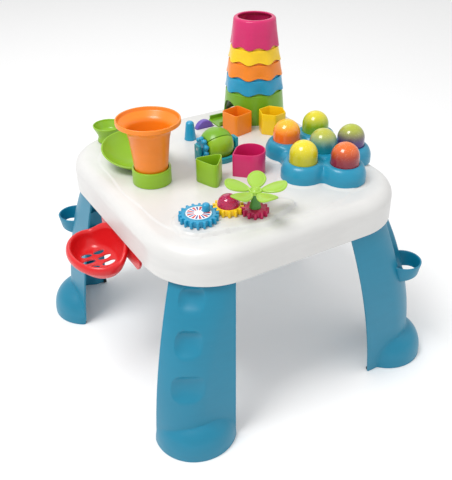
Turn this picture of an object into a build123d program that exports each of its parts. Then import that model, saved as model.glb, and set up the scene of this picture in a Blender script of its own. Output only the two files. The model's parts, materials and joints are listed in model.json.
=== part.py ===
"""Musical activity table for toddlers: a moulded table on four shell legs, with a gear train, a ball
funnel, spinners, shape cups, a cup tower, light-up keys and a side basket.

Millimetres, +Z up. Plan places are given from the middle of the table top. The written nodes stand with
their origin on the floor, under the middle of the whole object with its basket.
"""

from build123d import *
import os
from math import atan2, cos, degrees, pi, radians, sin, sqrt

os.makedirs("parts", exist_ok=True)

# ---------------------------------------------------------------- driving dimensions
# Table top
top_width = 436.0          # along X
top_depth = 466.0          # along Y
top_corner = 102.0         # plan corner radius
rim_z = 282.0              # underside of the skirt
deck_z = 339.0             # flat deck
shoulder = 17.0            # rounding between deck and skirt
top_wall = 3.0
panel_rise = 1.5           # wavy raised panel on the deck
panel_margin = 7.0
panel_wave = 5.0
panel_waves = 10
rib_depth = 8.0            # ribs under the deck
rib_wall = 2.0
rib_pitch = 72.0

# Underside cover
cover_z = 286.0
cover_wall = 3.0
cover_gap = 0.6            # cover to skirt wall
screw_shank = 1.6
screw_head = 3.4
screw_head_height = 2.0
screw_length = 12.0
screw_clear = 0.3          # cover hole over the shank
pilot_clear = 0.06         # boss hole over the shank
boss_radius = 5.0

# Legs
leg_wall = 3.5
leg_corner = 96.0          # plan radius of the quarter-round
leg_flange = 16.0          # depth of the returned edges
foot_reach = top_width / 2 + 32        # flank plane to table centre, at the floor
knee_reach = top_width / 2 + 18        # the same at half height
knee_z = 140.0
leg_inset = 7.0            # leg top inside the skirt
flank_foot = 120.0         # flank length at the floor
flank_top = 112.0
plug_height = 22.0         # leg inside its socket
socket_clear = 0.5
socket_wall = 2.5
toe_radius = 83.0          # round toe cap, centred on the floor
toe_centre = foot_reach - 65           # along X and along Y
leg_rib_levels = (60.0, 100.0, 140.0, 180.0, 220.0)
leg_rib_depth = 14.0
leg_rib_wall = 2.5
dimple_levels = ((256.0, 32.0, 32.0), (180.0, 37.0, 36.0), (99.0, 48.0, 42.0))   # z, width, height
dimple_depth = 5.0
dimple_corner = 0.32       # corner radius as a share of the height
dimple_lean = 0.14         # extra slope of the floor, which makes the upper edge the deep one
hoop_radius = 31.0         # carrying ring on two legs, at its top
hoop_foot_radius = 25.0
hoop_wall = 3.0
hoop_top_z = 196.0
hoop_height = 34.0
hoop_offset = 15.0         # ring centre outside the leg's skin
pad_length = 16.0          # rubber foot pads
pad_width = 8.0
pad_height = 9.0

# Gear deck
plateau_rise = 5.5
plateau_margin = 11.0
plateau_end = (2.0, -168.0, 15.0)      # x, y and radius of the narrow end
gear_module = 3.1
gear_teeth = (18, 14, 12)              # blue, yellow, magenta
tooth_radius = 2.1
tooth_floor = 0.6                      # root below the mating tooth
gear_thickness = 10.0
gear_lift = 0.3
gear_place = (-135.0, -145.0)          # blue gear's pin
train_turns = (-1.0, -43.0)            # direction to the next gear, degrees
pin_radius = 4.0
pin_clear = 0.05
dial_radius = 20.5
dial_thickness = 2.0
dial_recess = 1.4
fit_gap = 0.3
knob_radius = 6.0
knob_height = 12.0
knob_offset = 12.5
gear_dome_radius = 17.0
gear_dome_wall = 2.0
stem_height = 24.0
stem_foot = 9.0
stem_neck = 5.5
petal_count = 5
petal_reach = 48.0
petal_width = 30.0
petal_thickness = 3.0
petal_rise = 10.0                      # tip above hub
flower_hub = 10.0

# Ball run
funnel_place = (-136.0, 10.0)
funnel_rim = 51.0
funnel_top_z = 448.0
funnel_lip = 7.0
funnel_throat_z = 414.0
funnel_body = 32.0
funnel_foot = 25.0
funnel_wall = 2.5
collar_radius = 31.5
collar_clear = 0.8
collar_height = 26.0
ledge_height = 6.0
ledge_wall = 4.0
basin_place = (-133.0, 74.0)
basin_radius = 54.0
basin_depth = 26.0
basin_wall = 2.5
basin_tilt = 13.0
bowl_place = (85 - top_width / 2, top_depth / 2 - 37)
bowl_rim = 27.0
bowl_waist = 19.5
bowl_foot = 21.5
bowl_height = 29.0
bowl_floor = 13.0
bowl_wall = 2.2

# Shape cups: x, y and turn
block_height = 40.0
block_wall = 2.0
block_floor = 2.5
block_recess = 1.0
triangle_place = (-56.0, -42.0, 20.0)
triangle_side = 54.0
drop_place = (17.0, -44.0, 46.0)
drop_radius = 25.0
square_place = (84.0, 108.0, 12.0)
square_side = 42.0
hexagon_place = (140.0, 76.0, 10.0)
hexagon_radius = 26.0

# Spinners
ball_place = (0.0, 38.0)
ball_z = 361.0
ball_radius = 30.0
ball_half_width = 23.0
ball_gap = 1.5
ball_groove = 0.8
axle_radius = 2.5
cheek_wall = 5.0
cradle_height = 9.0
cradle_wall = 6.0
bead_ring = 15.5
bead_radius = 4.5
bead_count = 9
bead_disc = 5.0
wheel_place = (41.0, 157.0)
wheel_radius = 18.0
wheel_width = 12.0
wheel_sink = 4.0           # wheel axis below the deck
wheel_gap = 1.2
wheel_pin = 2.0
post_place = (-7.0, 122.0)
post_foot = 11.0
post_top = 7.0
post_height = 34.0

# Cup tower
tower_place = (top_width / 2 - 64, top_depth / 2 - 72)
tower_foot = 59.0
tower_wall = 2.5
cup_steps = (396.0, 424.0, 452.0, 478.0, 530.0)      # top of each visible band
cup_radii = (54.0, 51.5, 48.0, 44.0, 38.5)
cup_lip = 1.0              # skirt proud of the cup below
cup_wall = 2.0
cup_neck = 3.4
cup_neck_height = 9.0
cup_gap = 0.4
scallop_count = 8
scallop_radius = 12.0
scallop_rise = 4.0
mouth_radius = 31.0
door_width = 46.0
door_height = 36.0
tongue_length = 32.0
tongue_width = 40.0
tongue_wall = 2.5
tongue_side = 9.0

# Key pod
key_places = (
    ("orange", 104.0, -22.0),
    ("lemon", 78.0, -107.0),
    ("red", 130.0, -148.0),
    ("purple", 184.0, -96.0),
    ("lime", 168.0, -18.0),
    ("teal", 133.0, -86.0),
)
pod_centre_keys = 1        # the last key sits in the middle
pod_lobe = 29.0
pod_waist = 20.0
pod_notch = 9.0
pod_height = 28.0
pod_rounding = 7.0
pod_inner_rounding = 2.0   # small, so that the key flanges clear it
pod_wall = 2.5
pod_pad_margin = 8.0
pod_pad_rise = 1.5
dome_radius = 23.0
dome_clear = 0.6
dome_wall = 1.8
dome_skirt = 12.0
flange_radius = 24.9
flange_height = 2.0
key_travel = 3.5
board_thickness = 1.6
board_margin = 8.2         # room left under a pressed key
board_post = 3.0
spring_pad_wall = 1.2
spring_pad_radius = 20.0
spring_pad_flare = 2.0
lamp_radius = 2.5
lamp_height = 6.0

# Power and sound
speaker_place = (-35.0, 60.0)
speaker_radius = 25.0
speaker_height = 14.0
battery_place = (60.0, 20.0)
cell_radius = 7.1
cell_length = 50.0
cell_count = 3
cell_pitch = 15.6
tray_wall = 2.0
contact_wall = 0.6
door_gap = 0.4
door_wall = 2.4
tray_boss = 4.0            # boss for the door's screw, beside the cells
door_tab = 12.0            # width of the tab under that boss
door_screw_length = 10.0

# Basket
basket_y = -20.0
basket_x = -top_width / 2 - 28
basket_half_x = 44.0
basket_half_y = 62.0
basket_top_z = 258.0
basket_drop = 42.0
basket_taper = 12.0
basket_wall = 3.0
lip_height = 9.0
lip_proud = 3.5
slot_count = 12
slot_width = 9.0
slot_height = 20.0
bar_wall = 4.0
bar_length = 150.0
hook_length = 24.0
hook_height = 14.0
hook_wall = 3.0

# ---------------------------------------------------------------- derived levels
deck_top = deck_z + panel_rise
plateau_z = deck_top + plateau_rise
leg_top_x = top_width / 2 - leg_inset
leg_top_y = top_depth / 2 - leg_inset
plug_top = rim_z + plug_height
cover_top = cover_z + cover_wall
pod_z = deck_top + pod_pad_rise
pod_top = pod_z + pod_height
pod_roof = pod_top - pod_wall
dome_base = pod_roof - flange_height - fit_gap
board_top = dome_base - key_travel - board_margin
key_count = len(key_places)
object_middle_x = (basket_x - basket_half_x - lip_proud + toe_centre + toe_radius) / 2


# ---------------------------------------------------------------- helpers
def save(shape, node):
    """Write one node's solids to its STEP file, from the middle of the whole object."""
    export_step(Pos(-object_middle_x, 0, 0) * shape, f"parts/{node}.step")


def turned(points):
    """Solid of revolution about Z from a closed outline of (radius, z) points."""
    return revolve(make_face(Plane.XZ * Polyline(*points, close=True)), Axis.Z)


def post(radius, z_low, z_high, x=0.0, y=0.0):
    """Upright cylinder between two levels."""
    height = z_high - z_low
    return Pos(x, y, z_low + height / 2) * Cylinder(radius, height)


def prism(plan, z_low, z_high):
    """A plan sketch raised between two levels."""
    return Pos(0, 0, z_low) * extrude(plan, z_high - z_low)


def top_plan(inset=0.0):
    """Rounded plan of the table top, shrunk by inset."""
    return RectangleRounded(top_width - 2 * inset, top_depth - 2 * inset, top_corner - inset)


def blend_value(low, mid, high, z, z_mid, z_high):
    """Parabola through three values at heights 0, z_mid and z_high."""
    a = z * (z - z_high) / (z_mid * (z_mid - z_high))
    b = z * (z - z_mid) / (z_high * (z_high - z_mid))
    return low * (1 - a - b) + mid * a + high * b


# ---------------------------------------------------------------- legs
def leg_size(z):
    """Flank reach along X and Y and flank length at a height."""
    level = min(z, rim_z)
    reach_x = blend_value(foot_reach, knee_reach, leg_top_x, level, knee_z, rim_z)
    knee_y = knee_reach + (leg_top_y - leg_top_x) / 2
    reach_y = blend_value(foot_reach, knee_y, leg_top_y, level, knee_z, rim_z)
    flank = flank_foot + (flank_top - flank_foot) * level / rim_z
    return reach_x, reach_y, flank


def leg_hull(z):
    """Closed plan of the leg at a height: quarter-round skin with returned edges."""
    reach_x, reach_y, flank = leg_size(z)
    mid = leg_corner * (1 - cos(radians(45)))
    outline = [
        Line((reach_x, reach_y - flank), (reach_x, reach_y - leg_corner)),
        ThreePointArc(
            (reach_x, reach_y - leg_corner), (reach_x - mid, reach_y - mid), (reach_x - leg_corner, reach_y)
        ),
        Line((reach_x - leg_corner, reach_y), (reach_x - flank, reach_y)),
        Line((reach_x - flank, reach_y), (reach_x - flank, reach_y - leg_flange)),
        Line((reach_x - flank, reach_y - leg_flange), (reach_x - leg_flange, reach_y - flank)),
        Line((reach_x - leg_flange, reach_y - flank), (reach_x, reach_y - flank)),
    ]
    return Pos(0, 0, z) * make_face(Curve() + outline)


def leg_core(z, inset):
    """Plan of the space inside the leg, open towards the table centre."""
    reach_x, reach_y, flank = leg_size(z)
    mid = leg_corner - (leg_corner - inset) * cos(radians(45))
    low_x = reach_x - flank + inset
    low_y = reach_y - flank + inset
    outline = [
        Line((reach_x - inset, low_y), (reach_x - inset, reach_y - leg_corner)),
        ThreePointArc(
            (reach_x - inset, reach_y - leg_corner),
            (reach_x - mid, reach_y - mid),
            (reach_x - leg_corner, reach_y - inset),
        ),
        Line((reach_x - leg_corner, reach_y - inset), (low_x, reach_y - inset)),
        Line((low_x, reach_y - inset), (low_x, low_y)),
        Line((low_x, low_y), (reach_x - inset, low_y)),
    ]
    return Pos(0, 0, z) * make_face(Curve() + outline)


def leg_loft(plan):
    """Splayed leg body from the floor to the rim, with its straight plug above."""
    levels = (0.0, knee_z, rim_z)
    body = loft([plan(z) for z in levels])
    return body + extrude(plan(rim_z), plug_height)


def diagonal_skin(z):
    """X and Y of the leg's skin on its diagonal."""
    reach_x, reach_y, _ = leg_size(z)
    back = leg_corner * (1 - cos(radians(45)))
    return reach_x - back, reach_y - back


def toe(radius, low):
    """Round toe cap: the part of a sphere above the floor, outside the leg's chord and beyond low."""
    far = toe_centre + radius
    chord = 2 * foot_reach - flank_foot - leg_flange
    corner = [(far, far), (far, low), (chord - low, low), (low, chord - low), (low, far)]
    cap = Pos(toe_centre, toe_centre) * Sphere(radius)
    return cap & prism(make_face(Polyline(*corner, close=True)), 0, radius)


def dimple(z, width, height, grow, depth):
    """Rounded-square block let into the leg's diagonal skin, its floor leaning in at the top."""
    x, y = diagonal_skin(z)
    splay = x - diagonal_skin(z + 1)[0]
    face = Plane(origin=(x, y, z), x_dir=(-1, 1, 0), z_dir=(1, 1, 2 * splay + sqrt(2) * dimple_lean))
    plan = RectangleRounded(width + 2 * grow, height + 2 * grow, dimple_corner * height + grow)
    return extrude(face * plan, -depth) + extrude(face * plan, 3 * dimple_depth)


def leg(dimpled):
    """One leg in the +X +Y corner."""
    solid = leg_loft(leg_hull)
    outer = solid + toe(toe_radius, 0)
    core = leg_loft(lambda z: leg_core(z, leg_wall))
    core += toe(toe_radius - leg_wall, foot_reach - flank_foot + leg_wall)
    shell = outer - core
    ribs = outer - leg_loft(lambda z: leg_core(z, leg_rib_depth))
    for level in leg_rib_levels:
        shell += ribs & (Pos(foot_reach / 2, foot_reach / 2, level) * Box(
            2 * foot_reach, 2 * foot_reach, leg_rib_wall))
    if dimpled:
        for z, width, height in dimple_levels:
            backing = solid & dimple(z, width, height, leg_wall, dimple_depth + leg_wall)
            shell = shell + backing - dimple(z, width, height, 0, dimple_depth)
    else:
        shell += carrying_hoop(solid)
    return shell


def carrying_hoop(solid):
    """Tapered ring standing out of the leg's diagonal skin."""
    x, y = diagonal_skin(hoop_top_z)
    reach = hoop_offset * cos(radians(45))
    low = hoop_top_z - hoop_height
    ring = turned([
        (hoop_foot_radius, low),
        (hoop_radius, hoop_top_z),
        (hoop_radius - hoop_wall, hoop_top_z),
        (hoop_foot_radius - hoop_wall, low),
    ])
    return Pos(x + reach, y + reach, 0) * ring - solid


def mirrored(shape, sign_x, sign_y):
    """The +X +Y corner's shape in another corner."""
    if sign_x < 0:
        shape = mirror(shape, about=Plane.YZ)
    if sign_y < 0:
        shape = mirror(shape, about=Plane.XZ)
    return shape


def foot_pads():
    """Rubber pads in the feet, against the inside of each returned edge."""
    pads = []
    x = foot_reach - flank_foot + leg_wall + 1.0 + pad_width / 2
    y = foot_reach - leg_wall - 1.0 - pad_length / 2
    for sign_x in (1, -1):
        for sign_y in (1, -1):
            pads.append(Pos(sign_x * x, sign_y * y, pad_height / 2) * Box(pad_width, pad_length, pad_height))
            pads.append(Pos(sign_x * y, sign_y * x, pad_height / 2) * Box(pad_length, pad_width, pad_height))
    return Compound(pads)


# ---------------------------------------------------------------- table top
def wavy_panel():
    """Outline of the raised panel: a rounded rectangle with a gentle wave."""
    half_x = top_width / 2 - shoulder - panel_margin
    half_y = top_depth / 2 - shoulder - panel_margin
    points = []
    count = 4 * panel_waves
    for k in range(count):
        angle = 2 * pi * k / count
        c, s = cos(angle), sin(angle)
        squareness = (abs(c) ** 3.2 + abs(s) ** 3.2) ** (-1 / 3.2)
        wave = panel_wave * (cos(panel_waves * angle) - 1) / 2
        points.append(((half_x + wave) * c * squareness, (half_y + wave) * s * squareness))
    return make_face(Spline(*points, periodic=True))


def gear_places():
    """Pin positions of the three gears, from the first pin and the pitch radii."""
    places = [gear_place]
    for index, turn in enumerate(train_turns):
        span = gear_module * (gear_teeth[index] + gear_teeth[index + 1]) / 2
        x, y = places[-1]
        places.append((x + span * cos(radians(turn)), y + span * sin(radians(turn))))
    return places


def plateau_plan():
    """Plan of the raised gear deck: wide under the first gear, narrow at its far end."""
    first, _, last = gear_places()
    discs = [
        Pos(*first) * Circle(gear_module * gear_teeth[0] / 2 + plateau_margin),
        Pos(*last) * Circle(gear_module * gear_teeth[2] / 2 + plateau_margin),
        Pos(*plateau_end[:2]) * Circle(plateau_end[2]),
    ]
    return make_hull([edge for disc in discs for edge in disc.edges()])


def pod_plan(margin=0.0):
    """Cloud outline of the key pod."""
    outer = key_places[:key_count - pod_centre_keys]
    _, hub_x, hub_y = key_places[-1]
    waists = [Pos(x, y) * Circle(pod_waist + margin) for _, x, y in outer]
    cloud = make_hull([edge for disc in waists for edge in disc.edges()])
    for _, x, y in outer:
        seam = degrees(atan2(hub_y - y, hub_x - x))
        cloud += Pos(x, y) * Rot(0, 0, seam) * Circle(pod_lobe + margin)
    return fillet(cloud.vertices(), pod_notch)


def block_plans():
    """Plans of the four shape cups, in place."""
    wedge = RegularPolygon(triangle_side / sqrt(3), 3)
    drop = Circle(drop_radius) + Pos(-drop_radius / 2, drop_radius / 2) * Rectangle(drop_radius, drop_radius)
    plans = {
        "triangle_cup": (triangle_place, fillet(wedge.vertices(), 7.0)),
        "drop_cup": (drop_place, drop),
        "square_cup": (square_place, RectangleRounded(square_side, square_side, 4.0)),
        "hexagon_cup": (hexagon_place, fillet(RegularPolygon(hexagon_radius, 6).vertices(), 3.0)),
    }
    return {name: Pos(x, y) * Rot(0, 0, turn) * plan for name, ((x, y, turn), plan) in plans.items()}


def screw_places():
    """Cover screws: one beside each leg socket and one at the middle of each side."""
    side_x = top_width / 2 - 16
    side_y = top_depth / 2 - 16
    inner = flank_top - 50
    return [
        (side_x, 0), (-side_x, inner), (0, side_y), (0, -side_y),
        (inner, inner + 30), (-inner, inner + 30), (inner, -inner - 30), (-inner, -inner - 30),
    ]


def top_shell():
    """White moulded top: shelled tray with pads, raised gear deck, wells and screw bosses."""
    outer = prism(top_plan(), rim_z, deck_z)
    outer = fillet(outer.edges().group_by(Axis.Z)[-1], shoulder)
    outer += prism(wavy_panel(), deck_z - top_wall, deck_top)
    limit = prism(top_plan(), rim_z, plateau_z + pod_height)
    pads = prism(pod_plan(pod_pad_margin), deck_z - shoulder, pod_z)
    pads += post(tower_foot + 2, deck_z - shoulder, deck_top, *tower_place)
    pads += post(bowl_foot + 3, deck_z - shoulder, deck_top, *bowl_place)
    plateau = prism(plateau_plan(), deck_z - shoulder, plateau_z)
    plateau = fillet(plateau.edges().group_by(Axis.Z)[-1], 3.0)
    outer += (pads + plateau) & limit
    inner = prism(top_plan(top_wall), rim_z, deck_z - top_wall)
    inner = fillet(inner.edges().group_by(Axis.Z)[-1], shoulder - top_wall)
    shell = outer - inner
    shell += deck_ribs() & inner
    for x, y in screw_places():
        shell += post(boss_radius, cover_top, deck_z - top_wall, x, y)
        shell -= post(screw_shank + pilot_clear, cover_top, cover_top + screw_length, x, y)
    for plan in block_plans().values():
        shell -= prism(offset(plan, fit_gap), deck_top - block_recess, deck_top + block_height)
    for x, y in board_posts():
        shell += post(board_post, pod_z - 1, board_top - board_thickness, x, y)
    shell -= post(ball_radius + ball_gap, rim_z, plateau_z, *ball_place)
    shell += wheel_ears()
    slot = Box(2 * (wheel_radius + wheel_gap), wheel_width + 2 * wheel_gap, 60)
    pin_bore = Rot(90, 0, 0) * Cylinder(wheel_pin + pin_clear, wheel_width + 2 * wheel_gap + 7)
    return shell - Pos(*wheel_place, deck_top) * slot - Pos(*wheel_place, deck_top - wheel_sink) * pin_bore


def deck_ribs():
    """Cross ribs under the deck, clear of the wells."""
    low = deck_z - top_wall - rib_depth
    high = deck_z - top_wall + 1
    ribs = Part()
    for k in (-2, -1, 1, 2):
        ribs += Pos(k * rib_pitch + 9, 0, (low + high) / 2) * Box(rib_wall, top_depth, high - low)
        ribs += Pos(0, k * rib_pitch + 4, (low + high) / 2) * Box(top_width, rib_wall, high - low)
    return ribs


def wheel_ears():
    """Two ears under the deck that hold the roller's pin."""
    x, y = wheel_place
    z = deck_top - wheel_sink
    reach = wheel_width / 2 + wheel_gap + 1.5
    ears = Part()
    for side in (1, -1):
        ear = Pos(x, y + side * reach, z - 3) * Box(12, 3, 2 * (deck_top - z) + 6)
        ears += ear
    return ears


def bottom_cover():
    """Cover plate inside the skirt, with a cup-shaped socket for each leg and the battery opening."""
    plate = prism(top_plan(top_wall + cover_gap), cover_z, cover_top)
    socket_top = plug_top + socket_wall
    grow = socket_clear + socket_wall

    def socket_plan(extra):
        """Leg plug outline grown by a margin, as a rounded square."""
        reach_x, reach_y, flank = leg_size(rim_z)
        side = flank + 2 * extra
        radius = leg_corner + extra
        square = Rectangle(side, side)
        corner = square.vertices().sort_by(lambda v: v.X + v.Y)[-1]
        square = fillet(corner, radius)
        return Pos(reach_x - flank / 2, reach_y - flank / 2) * square

    outer = prism(socket_plan(grow), cover_z, socket_top)
    inner = prism(socket_plan(socket_clear), rim_z - 1, plug_top)
    for sign_x in (1, -1):
        for sign_y in (1, -1):
            plate = plate + mirrored(outer, sign_x, sign_y)
            plate = plate - mirrored(inner, sign_x, sign_y)
    for x, y in screw_places():
        plate -= post(screw_shank + screw_clear, cover_z - 1, cover_top + 1, x, y)
    for y in hook_places():
        plate -= Pos(-top_width / 2, y, cover_z) * Box(
            2 * (top_wall + fit_gap + hook_wall + 1), hook_length + 2, 4 * cover_wall)
    return plate - prism(door_plan(0), cover_z - 1, cover_top + 1)


def cover_screws():
    """Screws through the cover into the bosses."""
    screws = []
    for x, y in screw_places():
        head = post(screw_head, cover_z - screw_head_height, cover_z, x, y)
        shank = post(screw_shank, cover_z, cover_top + screw_length - 1, x, y)
        slot = Pos(x, y, cover_z - screw_head_height) * Box(1.0, 2 * screw_head, 1.6)
        screws.append(head + shank - slot)
    return Compound(screws)


# ---------------------------------------------------------------- gears
def gear_plan(teeth):
    """Round-toothed gear outline about the origin, first tooth on +X."""
    pitch = gear_module * teeth / 2
    root = pitch - tooth_radius - tooth_floor
    plan = Circle(root)
    for k in range(teeth):
        tooth = Pos(pitch, 0) * Circle(tooth_radius)
        tooth += Pos((pitch + root) / 2 - 0.5, 0) * Rectangle(pitch - root + 1, 2 * tooth_radius)
        plan += Rot(0, 0, 360 * k / teeth) * tooth
    return plan


def gear_phases():
    """Turn of each gear's first tooth so that the train is in mesh."""
    blue, yellow, magenta = gear_teeth
    turn_1, turn_2 = train_turns
    first = turn_1
    second = turn_1 + 180 + 180 / yellow
    lead = (second - turn_2) % (360 / yellow)
    third = turn_2 + 180 - lead * yellow / magenta + 180 / magenta
    return first, second, third


def gear_blank(index, phase):
    """One gear with its bore, in place."""
    x, y = gear_places()[index]
    low = plateau_z + gear_lift
    plan = Rot(0, 0, phase) * gear_plan(gear_teeth[index])
    gear = Pos(x, y) * prism(plan, low, low + gear_thickness)
    return gear - post(pin_radius + pin_clear, low - 1, low + gear_thickness - 3.5, x, y)


def gears():
    """The three gears, the dial insert, the finger knob and the clear dome."""
    phases = gear_phases()
    top = plateau_z + gear_lift + gear_thickness
    x, y = gear_places()[0]
    blue = gear_blank(0, phases[0]) - post(dial_radius + fit_gap, top - dial_recess, top + 1, x, y)
    dial_top = top - dial_recess + dial_thickness
    dial = post(dial_radius, top - dial_recess, dial_top, x, y)
    knob = post(knob_radius, dial_top, dial_top + knob_height, x + knob_offset, y)
    knob = fillet(knob.edges().group_by(Axis.Z)[-1], knob_radius * 0.6)
    x, y = gear_places()[1]
    dome = Pos(x, y, top) * (Sphere(gear_dome_radius) - Sphere(gear_dome_radius - gear_dome_wall))
    dome = split(dome, Plane.XY.offset(top), keep=Keep.TOP)
    save(blue, "blue_gear")
    save(dial, "dial_insert")
    save(knob, "dial_knob")
    save(gear_blank(1, phases[1]), "yellow_gear")
    save(dome, "clear_dome")
    save(gear_blank(2, phases[2]), "magenta_gear")
    pins = [post(pin_radius, plateau_z, top - 4, px, py) for px, py in gear_places()]
    save(Compound(pins), "gear_pins")


def flower():
    """Petal propeller on its stem, above the last gear."""
    x, y = gear_places()[2]
    base = plateau_z + gear_lift + gear_thickness
    hub_z = base + stem_height
    stem = Pos(x, y) * turned([(0, base), (stem_foot, base), (stem_neck, hub_z), (0, hub_z)])
    tilt = degrees(atan2(petal_rise, petal_reach))
    leaf = extrude(Ellipse(petal_reach / 2 - 3, petal_width / 2), petal_thickness)
    petal = Pos(petal_reach / 2 + 3, 0, 0) * leaf
    petal = Rot(0, -tilt, 0) * petal
    head = Pos(0, 0, petal_thickness / 2) * Cylinder(flower_hub, petal_thickness + 2)
    for k in range(petal_count):
        head += Rot(0, 0, 360 * k / petal_count + 18) * petal
    cap = Pos(0, 0, petal_thickness) * Sphere(flower_hub * 0.7)
    head += split(cap, Plane.XY, keep=Keep.TOP)
    save(stem, "flower_stem")
    save(Pos(x, y, hub_z + 1) * head, "flower")


# ---------------------------------------------------------------- ball run
def funnel():
    """Trumpet funnel that stands in the collar."""
    foot_z = deck_top + ledge_height + fit_gap
    lip_z = funnel_top_z - funnel_lip
    flare = funnel_rim - 3
    belly = funnel_body + 0.22 * (flare - funnel_body)
    belly_z = funnel_throat_z + 0.62 * (lip_z - funnel_throat_z)
    wall = funnel_wall
    outline = [
        Line((funnel_foot, foot_z), (funnel_body, funnel_throat_z)),
        ThreePointArc((funnel_body, funnel_throat_z), (belly, belly_z), (flare, lip_z)),
        Line((flare, lip_z), (funnel_rim, lip_z)),
        Line((funnel_rim, lip_z), (funnel_rim, funnel_top_z - 1)),
        Line((funnel_rim, funnel_top_z - 1), (funnel_rim - 1, funnel_top_z)),
        Line((funnel_rim - 1, funnel_top_z), (funnel_rim - wall, funnel_top_z)),
        Line((funnel_rim - wall, funnel_top_z), (flare - 0.5, lip_z + wall)),
        ThreePointArc(
            (flare - 0.5, lip_z + wall), (belly - 0.75 * wall, belly_z + 0.65 * wall),
            (funnel_body - wall, funnel_throat_z),
        ),
        Line((funnel_body - wall, funnel_throat_z), (funnel_foot - wall, foot_z)),
        Line((funnel_foot - wall, foot_z), (funnel_foot, foot_z)),
    ]
    return Pos(*funnel_place) * revolve(make_face(Plane.XZ * (Curve() + outline)), Axis.Z)


def ball_ramp():
    """Collar for the funnel, with the tilted catching basin moulded to it."""
    bore = funnel_foot + collar_clear + 2.0
    top = deck_top + collar_height
    collar = post(collar_radius, deck_top, top)
    collar -= post(bore, deck_top - 1, top + 1)
    ledge = post(bore + 1, deck_top, deck_top + ledge_height) - post(
        bore - ledge_wall - 2, deck_top - 1, top)
    collar = Pos(*funnel_place) * (collar + ledge)
    sphere = (basin_radius ** 2 + basin_depth ** 2) / (2 * basin_depth)
    bowl = Sphere(sphere) - Sphere(sphere - basin_wall)
    bowl = bowl & (Pos(0, 0, -sphere - (sphere - basin_depth)) * Box(4 * sphere, 4 * sphere, 2 * sphere))
    tilted = Pos(*basin_place, deck_top + sphere - 1.2) * Rot(basin_tilt, 0, 0) * bowl
    above = Pos(*basin_place, deck_top + sphere) * Box(4 * sphere, 4 * sphere, 2 * sphere)
    tilted = tilted & above
    hole = Pos(*funnel_place) * post(collar_radius - 1, deck_top - 1, funnel_top_z)
    return (tilted - hole) + collar


def ball_bowl():
    """Waisted open bowl at the table's corner."""
    base = deck_top
    rim = base + bowl_height
    return Pos(*bowl_place) * turned([
        (0, base), (bowl_foot, base), (bowl_waist, base + 6), (bowl_waist + 0.5, base + 12),
        (bowl_rim, rim - 3), (bowl_rim, rim), (bowl_rim - bowl_wall, rim),
        (bowl_waist - bowl_wall + 1, base + bowl_floor + 1), (bowl_waist - bowl_wall - 3, base + bowl_floor),
        (0, base + bowl_floor),
    ])


# ---------------------------------------------------------------- shape cups
def shape_cups():
    """Four open cups, each seated in its shallow recess."""
    low = deck_top - block_recess + fit_gap
    for name, plan in block_plans().items():
        cup = prism(plan, low, low + block_height)
        cup -= prism(offset(plan, -block_wall), low + block_floor, low + block_height + 1)
        save(cup, name)


# ---------------------------------------------------------------- spinners
def spinner():
    """Ball in three coloured segments with a bead wheel, on an axle between two cheeks."""
    x, y = ball_place
    place = Pos(x, y, ball_z)
    bore = Rot(0, 90, 0) * Cylinder(axle_radius + pin_clear, 4 * ball_radius)
    ball = Sphere(ball_radius) & Box(2 * ball_half_width, 3 * ball_radius, 3 * ball_radius)
    wheel_x = -ball_half_width - bead_radius - fit_gap
    cheek_x = -wheel_x + bead_radius + 1.5 + cheek_wall / 2
    hub_end = cheek_x - cheek_wall / 2 - 0.5
    hub = Pos((wheel_x + hub_end) / 2, 0, 0) * Rot(0, 90, 0) * Cylinder(axle_radius + 2.5, hub_end - wheel_x)
    for index, colour in enumerate(("green", "lime", "blue")):
        turn = 120 * index
        far = 4 * ball_radius
        wedge = Polyline((0, 0), (far / 2, far * sin(radians(60))), (far, 0),
                         (far / 2, -far * sin(radians(60))), close=True)
        slice_ = Plane.YZ * make_face(wedge)
        sector = extrude(slice_, ball_radius, both=True)
        piece = ball & (Rot(turn, 0, 0) * (Pos(0, ball_groove, 0) * sector))
        piece = piece - hub
        save(place * (Rot(70, 0, 0) * piece), f"spinner_{colour}")
    wheel = Rot(0, 90, 0) * Cylinder(bead_ring, bead_disc)
    for k in range(bead_count):
        turn = 2 * pi * k / bead_count
        wheel += Pos(0, bead_ring * cos(turn), bead_ring * sin(turn)) * Sphere(bead_radius)
    save(place * (Pos(wheel_x, 0, 0) * wheel + hub - bore), "bead_wheel")
    bore_radius = ball_radius + ball_gap
    ring = post(bore_radius + cradle_wall, deck_top, deck_top + cradle_height, x, y)
    ring -= post(bore_radius, deck_top - 1, deck_top + cradle_height + 1, x, y)
    ring -= place * Pos(wheel_x, 0, 0) * Rot(0, 90, 0) * Cylinder(
        bead_ring + bead_radius + 1, 2 * bead_radius + 2)
    cheek_height = ball_z + 7 - deck_top
    for side in (1, -1):
        ring += Pos(x + side * cheek_x, y, deck_top + cheek_height / 2) * Box(cheek_wall, 16, cheek_height)
    ring -= place * (Rot(0, 90, 0) * Cylinder(axle_radius + pin_clear / 2, 6 * ball_radius))
    save(ring, "spinner_cradle")
    axle = Rot(0, 90, 0) * Cylinder(axle_radius, 2 * cheek_x + cheek_wall)
    save(place * axle, "spinner_axle")


def roller():
    """Purple wheel half sunk in the deck, on its pin."""
    x, y = wheel_place
    place = Pos(x, y, deck_top - wheel_sink) * Rot(90, 0, 0)
    wheel = Cylinder(wheel_radius, wheel_width)
    wheel = fillet(wheel.edges().filter_by(GeomType.CIRCLE), 2.5)
    save(place * (wheel - Cylinder(wheel_pin + pin_clear, 2 * wheel_width)), "purple_roller")
    save(place * Cylinder(wheel_pin, wheel_width + 2 * wheel_gap + 6), "roller_pin")


def stop_post():
    """Tapered peg behind the funnel."""
    top = deck_top + post_height
    peg = turned([(0, deck_top), (post_foot, deck_top), (post_top, top - 3), (post_top - 3, top), (0, top)])
    return Pos(*post_place) * peg


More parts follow.
